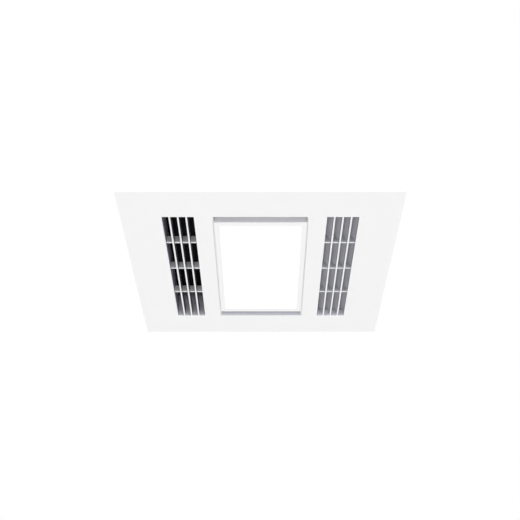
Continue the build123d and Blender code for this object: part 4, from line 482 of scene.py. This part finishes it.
def depth_painted_shade(name, tones):
    """White plastic with painted shade by its height over the ceiling's underside, greyer deeper in, by
    (height, tone) steps.
    """
    made = surface_of(name, (0.6, 0.6, 0.62), 0.6)
    tree = made.node_tree
    bottom, top = tones[0][0], tones[-1][0]
    place = tree.nodes.new("ShaderNodeTexCoord")
    axes = tree.nodes.new("ShaderNodeSeparateXYZ")
    height = tree.nodes.new("ShaderNodeMapRange")
    height.inputs["From Min"].default_value = bottom
    height.inputs["From Max"].default_value = top
    cloud = tree.nodes.new("ShaderNodeMath")
    cloud.operation = "MULTIPLY_ADD"
    cloud.inputs[1].default_value = 0.04
    shade = tree.nodes.new("ShaderNodeValToRGB")
    steps = shade.color_ramp.elements
    steps[0].color = cool_grey(tones[0][1])
    steps[1].color = cool_grey(tones[-1][1])
    for level, tone in tones[1:-1]:
        steps.new((level - bottom) / (top - bottom)).color = cool_grey(tone)
    tree.links.new(place.outputs["Object"], axes.inputs[0])
    tree.links.new(axes.outputs["Z"], height.inputs["Value"])
    tree.links.new(grain(made, 120), cloud.inputs[0])
    tree.links.new(height.outputs["Result"], cloud.inputs[2])
    tree.links.new(cloud.outputs[0], shade.inputs["Fac"])
    tree.links.new(shade.outputs["Color"], tree.nodes["Principled BSDF"].inputs["Base Color"])
    relief(made, grain(made, 1400, 2.0), 0.00003)
    return made


# Painted shade in the intake and the outlet: the white greys with height into each opening.
intake_shade_tones = [(-0.006, 0.86), (0, 0.86), (0.011, 0.84), (0.023, 0.8), (0.032, 0.6), (0.042, 0.16)]
outlet_shade_tones = [(-0.006, 0.86), (-0.002, 0.82), (0, 0.7), (0.004, 0.6), (0.012, 0.52)]
intake_end_shade = depth_painted_shade("intake_ends", intake_shade_tones)
outlet_end_shade = depth_painted_shade("outlet_ends", outlet_shade_tones)
looks = [face_plastic, pocket_painted_shade, outlet_end_shade, intake_wall_shade, rib_side_shade, intake_end_shade, louvre_plastic]
louvre_low, louvre_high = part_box("outlet_louvre")
frame_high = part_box("light_frame")[1]
intake_x, ribbed_half, rim_width = -0.118, 0.0222, 0.01
gap_length, gap_level, frame_slack, louvre_slack = 0.015, -0.005, 0.001, 0.0005
square_on, tilted = 0.7, 0.5


def fascia_white_or_shade(spot, way):
    """The fascia's white or painted shade for one of its faces, by the place of its middle and the way that
    it faces.
    """
    past_frame = frame_high.y < abs(spot.y) < frame_high.y + gap_length
    in_gap = past_frame and abs(spot.x) < frame_high.x + frame_slack and spot.z > gap_level
    faces_light = way.y * spot.y <= 0.001
    if in_gap and faces_light:
        return outlet_end_shade if abs(way.y) > square_on else pocket_painted_shade
    if abs(way.z) > tilted or abs(spot.y) > louvre_high.y + louvre_slack:
        return face_plastic
    if louvre_low.x < spot.x < louvre_high.x:
        return louvre_plastic if abs(way.x) > square_on else outlet_end_shade
    if not -louvre_high.x < spot.x < -frame_high.x - rim_width:
        return face_plastic
    if abs(way.x) > square_on:
        return rib_side_shade if abs(spot.x - intake_x) < ribbed_half else intake_wall_shade
    return face_plastic if abs(spot.y) < frame_high.y else intake_end_shade


finish_with(face_plastic, "fascia")
for made in looks[1:]:
    parts["fascia"].data.materials.append(made)
for face in parts["fascia"].data.polygons:
    face.material_index = looks.index(fascia_white_or_shade(face.center, face.normal))
finish_with(spring_strip, "fascia_clips")

# Outlet louvre: slanted blades between two end bars, in one grey-white moulding, with painted shade that
# makes it greyer and bluer.
# It is pushed into the collar over the outlet's ribs and turns the warm air away from the light.
finish_with(louvre_plastic, "outlet_louvre")

# Light: a white frame with an opal sheet, before a white tray and an aluminium board of LEDs.
# A galvanised plate closes its back, and the driver in its white case is screwed on that.
finish_with(face_plastic, "light_frame")
opal = surface_of("opal_sheet", (0.92, 0.92, 0.92), 0.35)
glow = opal.node_tree.nodes["Principled BSDF"]
glow.inputs["Emission Color"].default_value = (1, 1, 1, 1)
glow.inputs["Emission Strength"].default_value = 0.08
tint(opal, grain(opal, 30), (0.91, 0.91, 0.91), (0.93, 0.93, 0.93))
relief(opal, grain(opal, 900, 2.0), 0.00002)
finish_with(opal, "light_diffuser")
tray_white = marbled("tray_white", (0.86, 0.86, 0.86), (0.9, 0.9, 0.9), 0.6)
finish_with(tray_white, "light_reflector", "led_board")
phosphor = marbled("phosphor", (0.8, 0.68, 0.3), (0.88, 0.78, 0.4), 0.4)
finish_with(phosphor, "led_emitters")
finish_with(zinc, "light_back_plate")
driver_plastic = marbled("driver_case", (0.76, 0.76, 0.76), (0.82, 0.82, 0.82), 0.45)
finish_with(driver_plastic, "led_driver")


# Screws: pan heads with a cross recess, headed and thread-rolled from wire, then zinc-plated.
# Each group takes the places and lengths of the plain screws in the frame that it stands for.
head_radius, head_height = 0.0029, 0.002
head_profile = ((1, 0.68), (0.93, 0.85), (0.68, 0.97), (0.4, 1), (0.05, 1), (0, 0.97))
recess_depth, recess_floor, recess_mouth, recess_arm = 0.0012, 0.0011, 0.0017, 0.255
recess_turns = (-0.25, 0, 0.25, 0.515, pi / 4, 1.056)
thread_pitch, thread_core, thread_crest, rows_per_turn = 0.00125, 0.00118, 0.00147, 4
point_length, point_tip = 0.0012, 0.0001


def solids_of(node):
    """The separate solids of a node, each as a list of its points."""
    shape = bmesh.new()
    shape.from_mesh(parts[node].data)
    bmesh.ops.remove_doubles(shape, verts=shape.verts, dist=1e-6)
    met, found = set(), []
    for start in shape.verts:
        if start in met:
            continue
        met.add(start)
        group = [start]
        for vert in group:
            for edge in vert.link_edges:
                other = edge.other_vert(vert)
                if other not in met:
                    met.add(other)
                    group.append(other)
        found.append([vert.co.copy() for vert in group])
    shape.free()
    return found


def screw_frame(points):
    """(place, length): the seat of the head as a frame with Z out of the screw, and the shank's length."""
    low = Vector([min(p[i] for p in points) for i in range(3)])
    high = Vector([max(p[i] for p in points) for i in range(3)])
    size, middle = high - low, (low + high) / 2
    spreads = [abs(size[(i + 1) % 3] - size[(i + 2) % 3]) for i in range(3)]
    along = spreads.index(min(spreads))
    aside = [p - middle for p in points]
    for p in aside:
        p[along] = 0
    widest = max(range(len(points)), key=lambda i: aside[i].length)
    way = 1 if points[widest][along] > middle[along] else -1
    out = Vector([way if i == along else 0 for i in range(3)])
    length = size[along] - head_height
    seat = middle + out * (size[along] / 2 - head_height)
    return Matrix.Translation(seat) @ out.to_track_quat("Z", "Y").to_matrix().to_4x4(), length


def pan_screw(shape, place, length):
    """One screw: a recessed pan head on the local XY plane, and a threaded shank down to a blunt point."""
    turns = [quarter * pi / 2 + turn for quarter in range(4) for turn in recess_turns]
    cross = []
    for t in turns:
        near, far = sorted((abs(cos(t)), abs(sin(t))))
        cross.append(min(1 / far, recess_arm / max(near, 0.01)))
    rows = [(head_height - recess_depth, [recess_floor * c for c in cross])]
    rows.append((head_height, [recess_mouth * c for c in cross]))
    for height, radius in head_profile:
        rows.append((height * head_height, [radius * head_radius] * len(turns)))
    threaded = length - point_length
    steps = ceil(threaded / thread_pitch * rows_per_turn)
    for step in range(steps + 1):
        depth = threaded * step / steps
        wave = [0.5 + 0.5 * cos(2 * pi * depth / thread_pitch - t) for t in turns]
        rows.append((-depth, [thread_core + (thread_crest - thread_core) * w for w in wave]))
    rows.append((point_tip - length, [0.5 * thread_core] * len(turns)))
    rings = [[(r * cos(t), r * sin(t), z) for r, t in zip(radii, turns)] for z, radii in rows]
    add_rings(shape, rings, place)


zinc_plate = machined("zinc_plate", (0.62, 0.63, 0.65), 0.3)
screw_groups = [name for name in parts if name.endswith("screws")]
finish_with(zinc_plate, *screw_groups)
for group in screw_groups:
    screws = bmesh.new()
    for points in solids_of(group):
        pan_screw(screws, *screw_frame(points))
    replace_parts(new_piece(group + "_threaded", screws, zinc_plate), group)
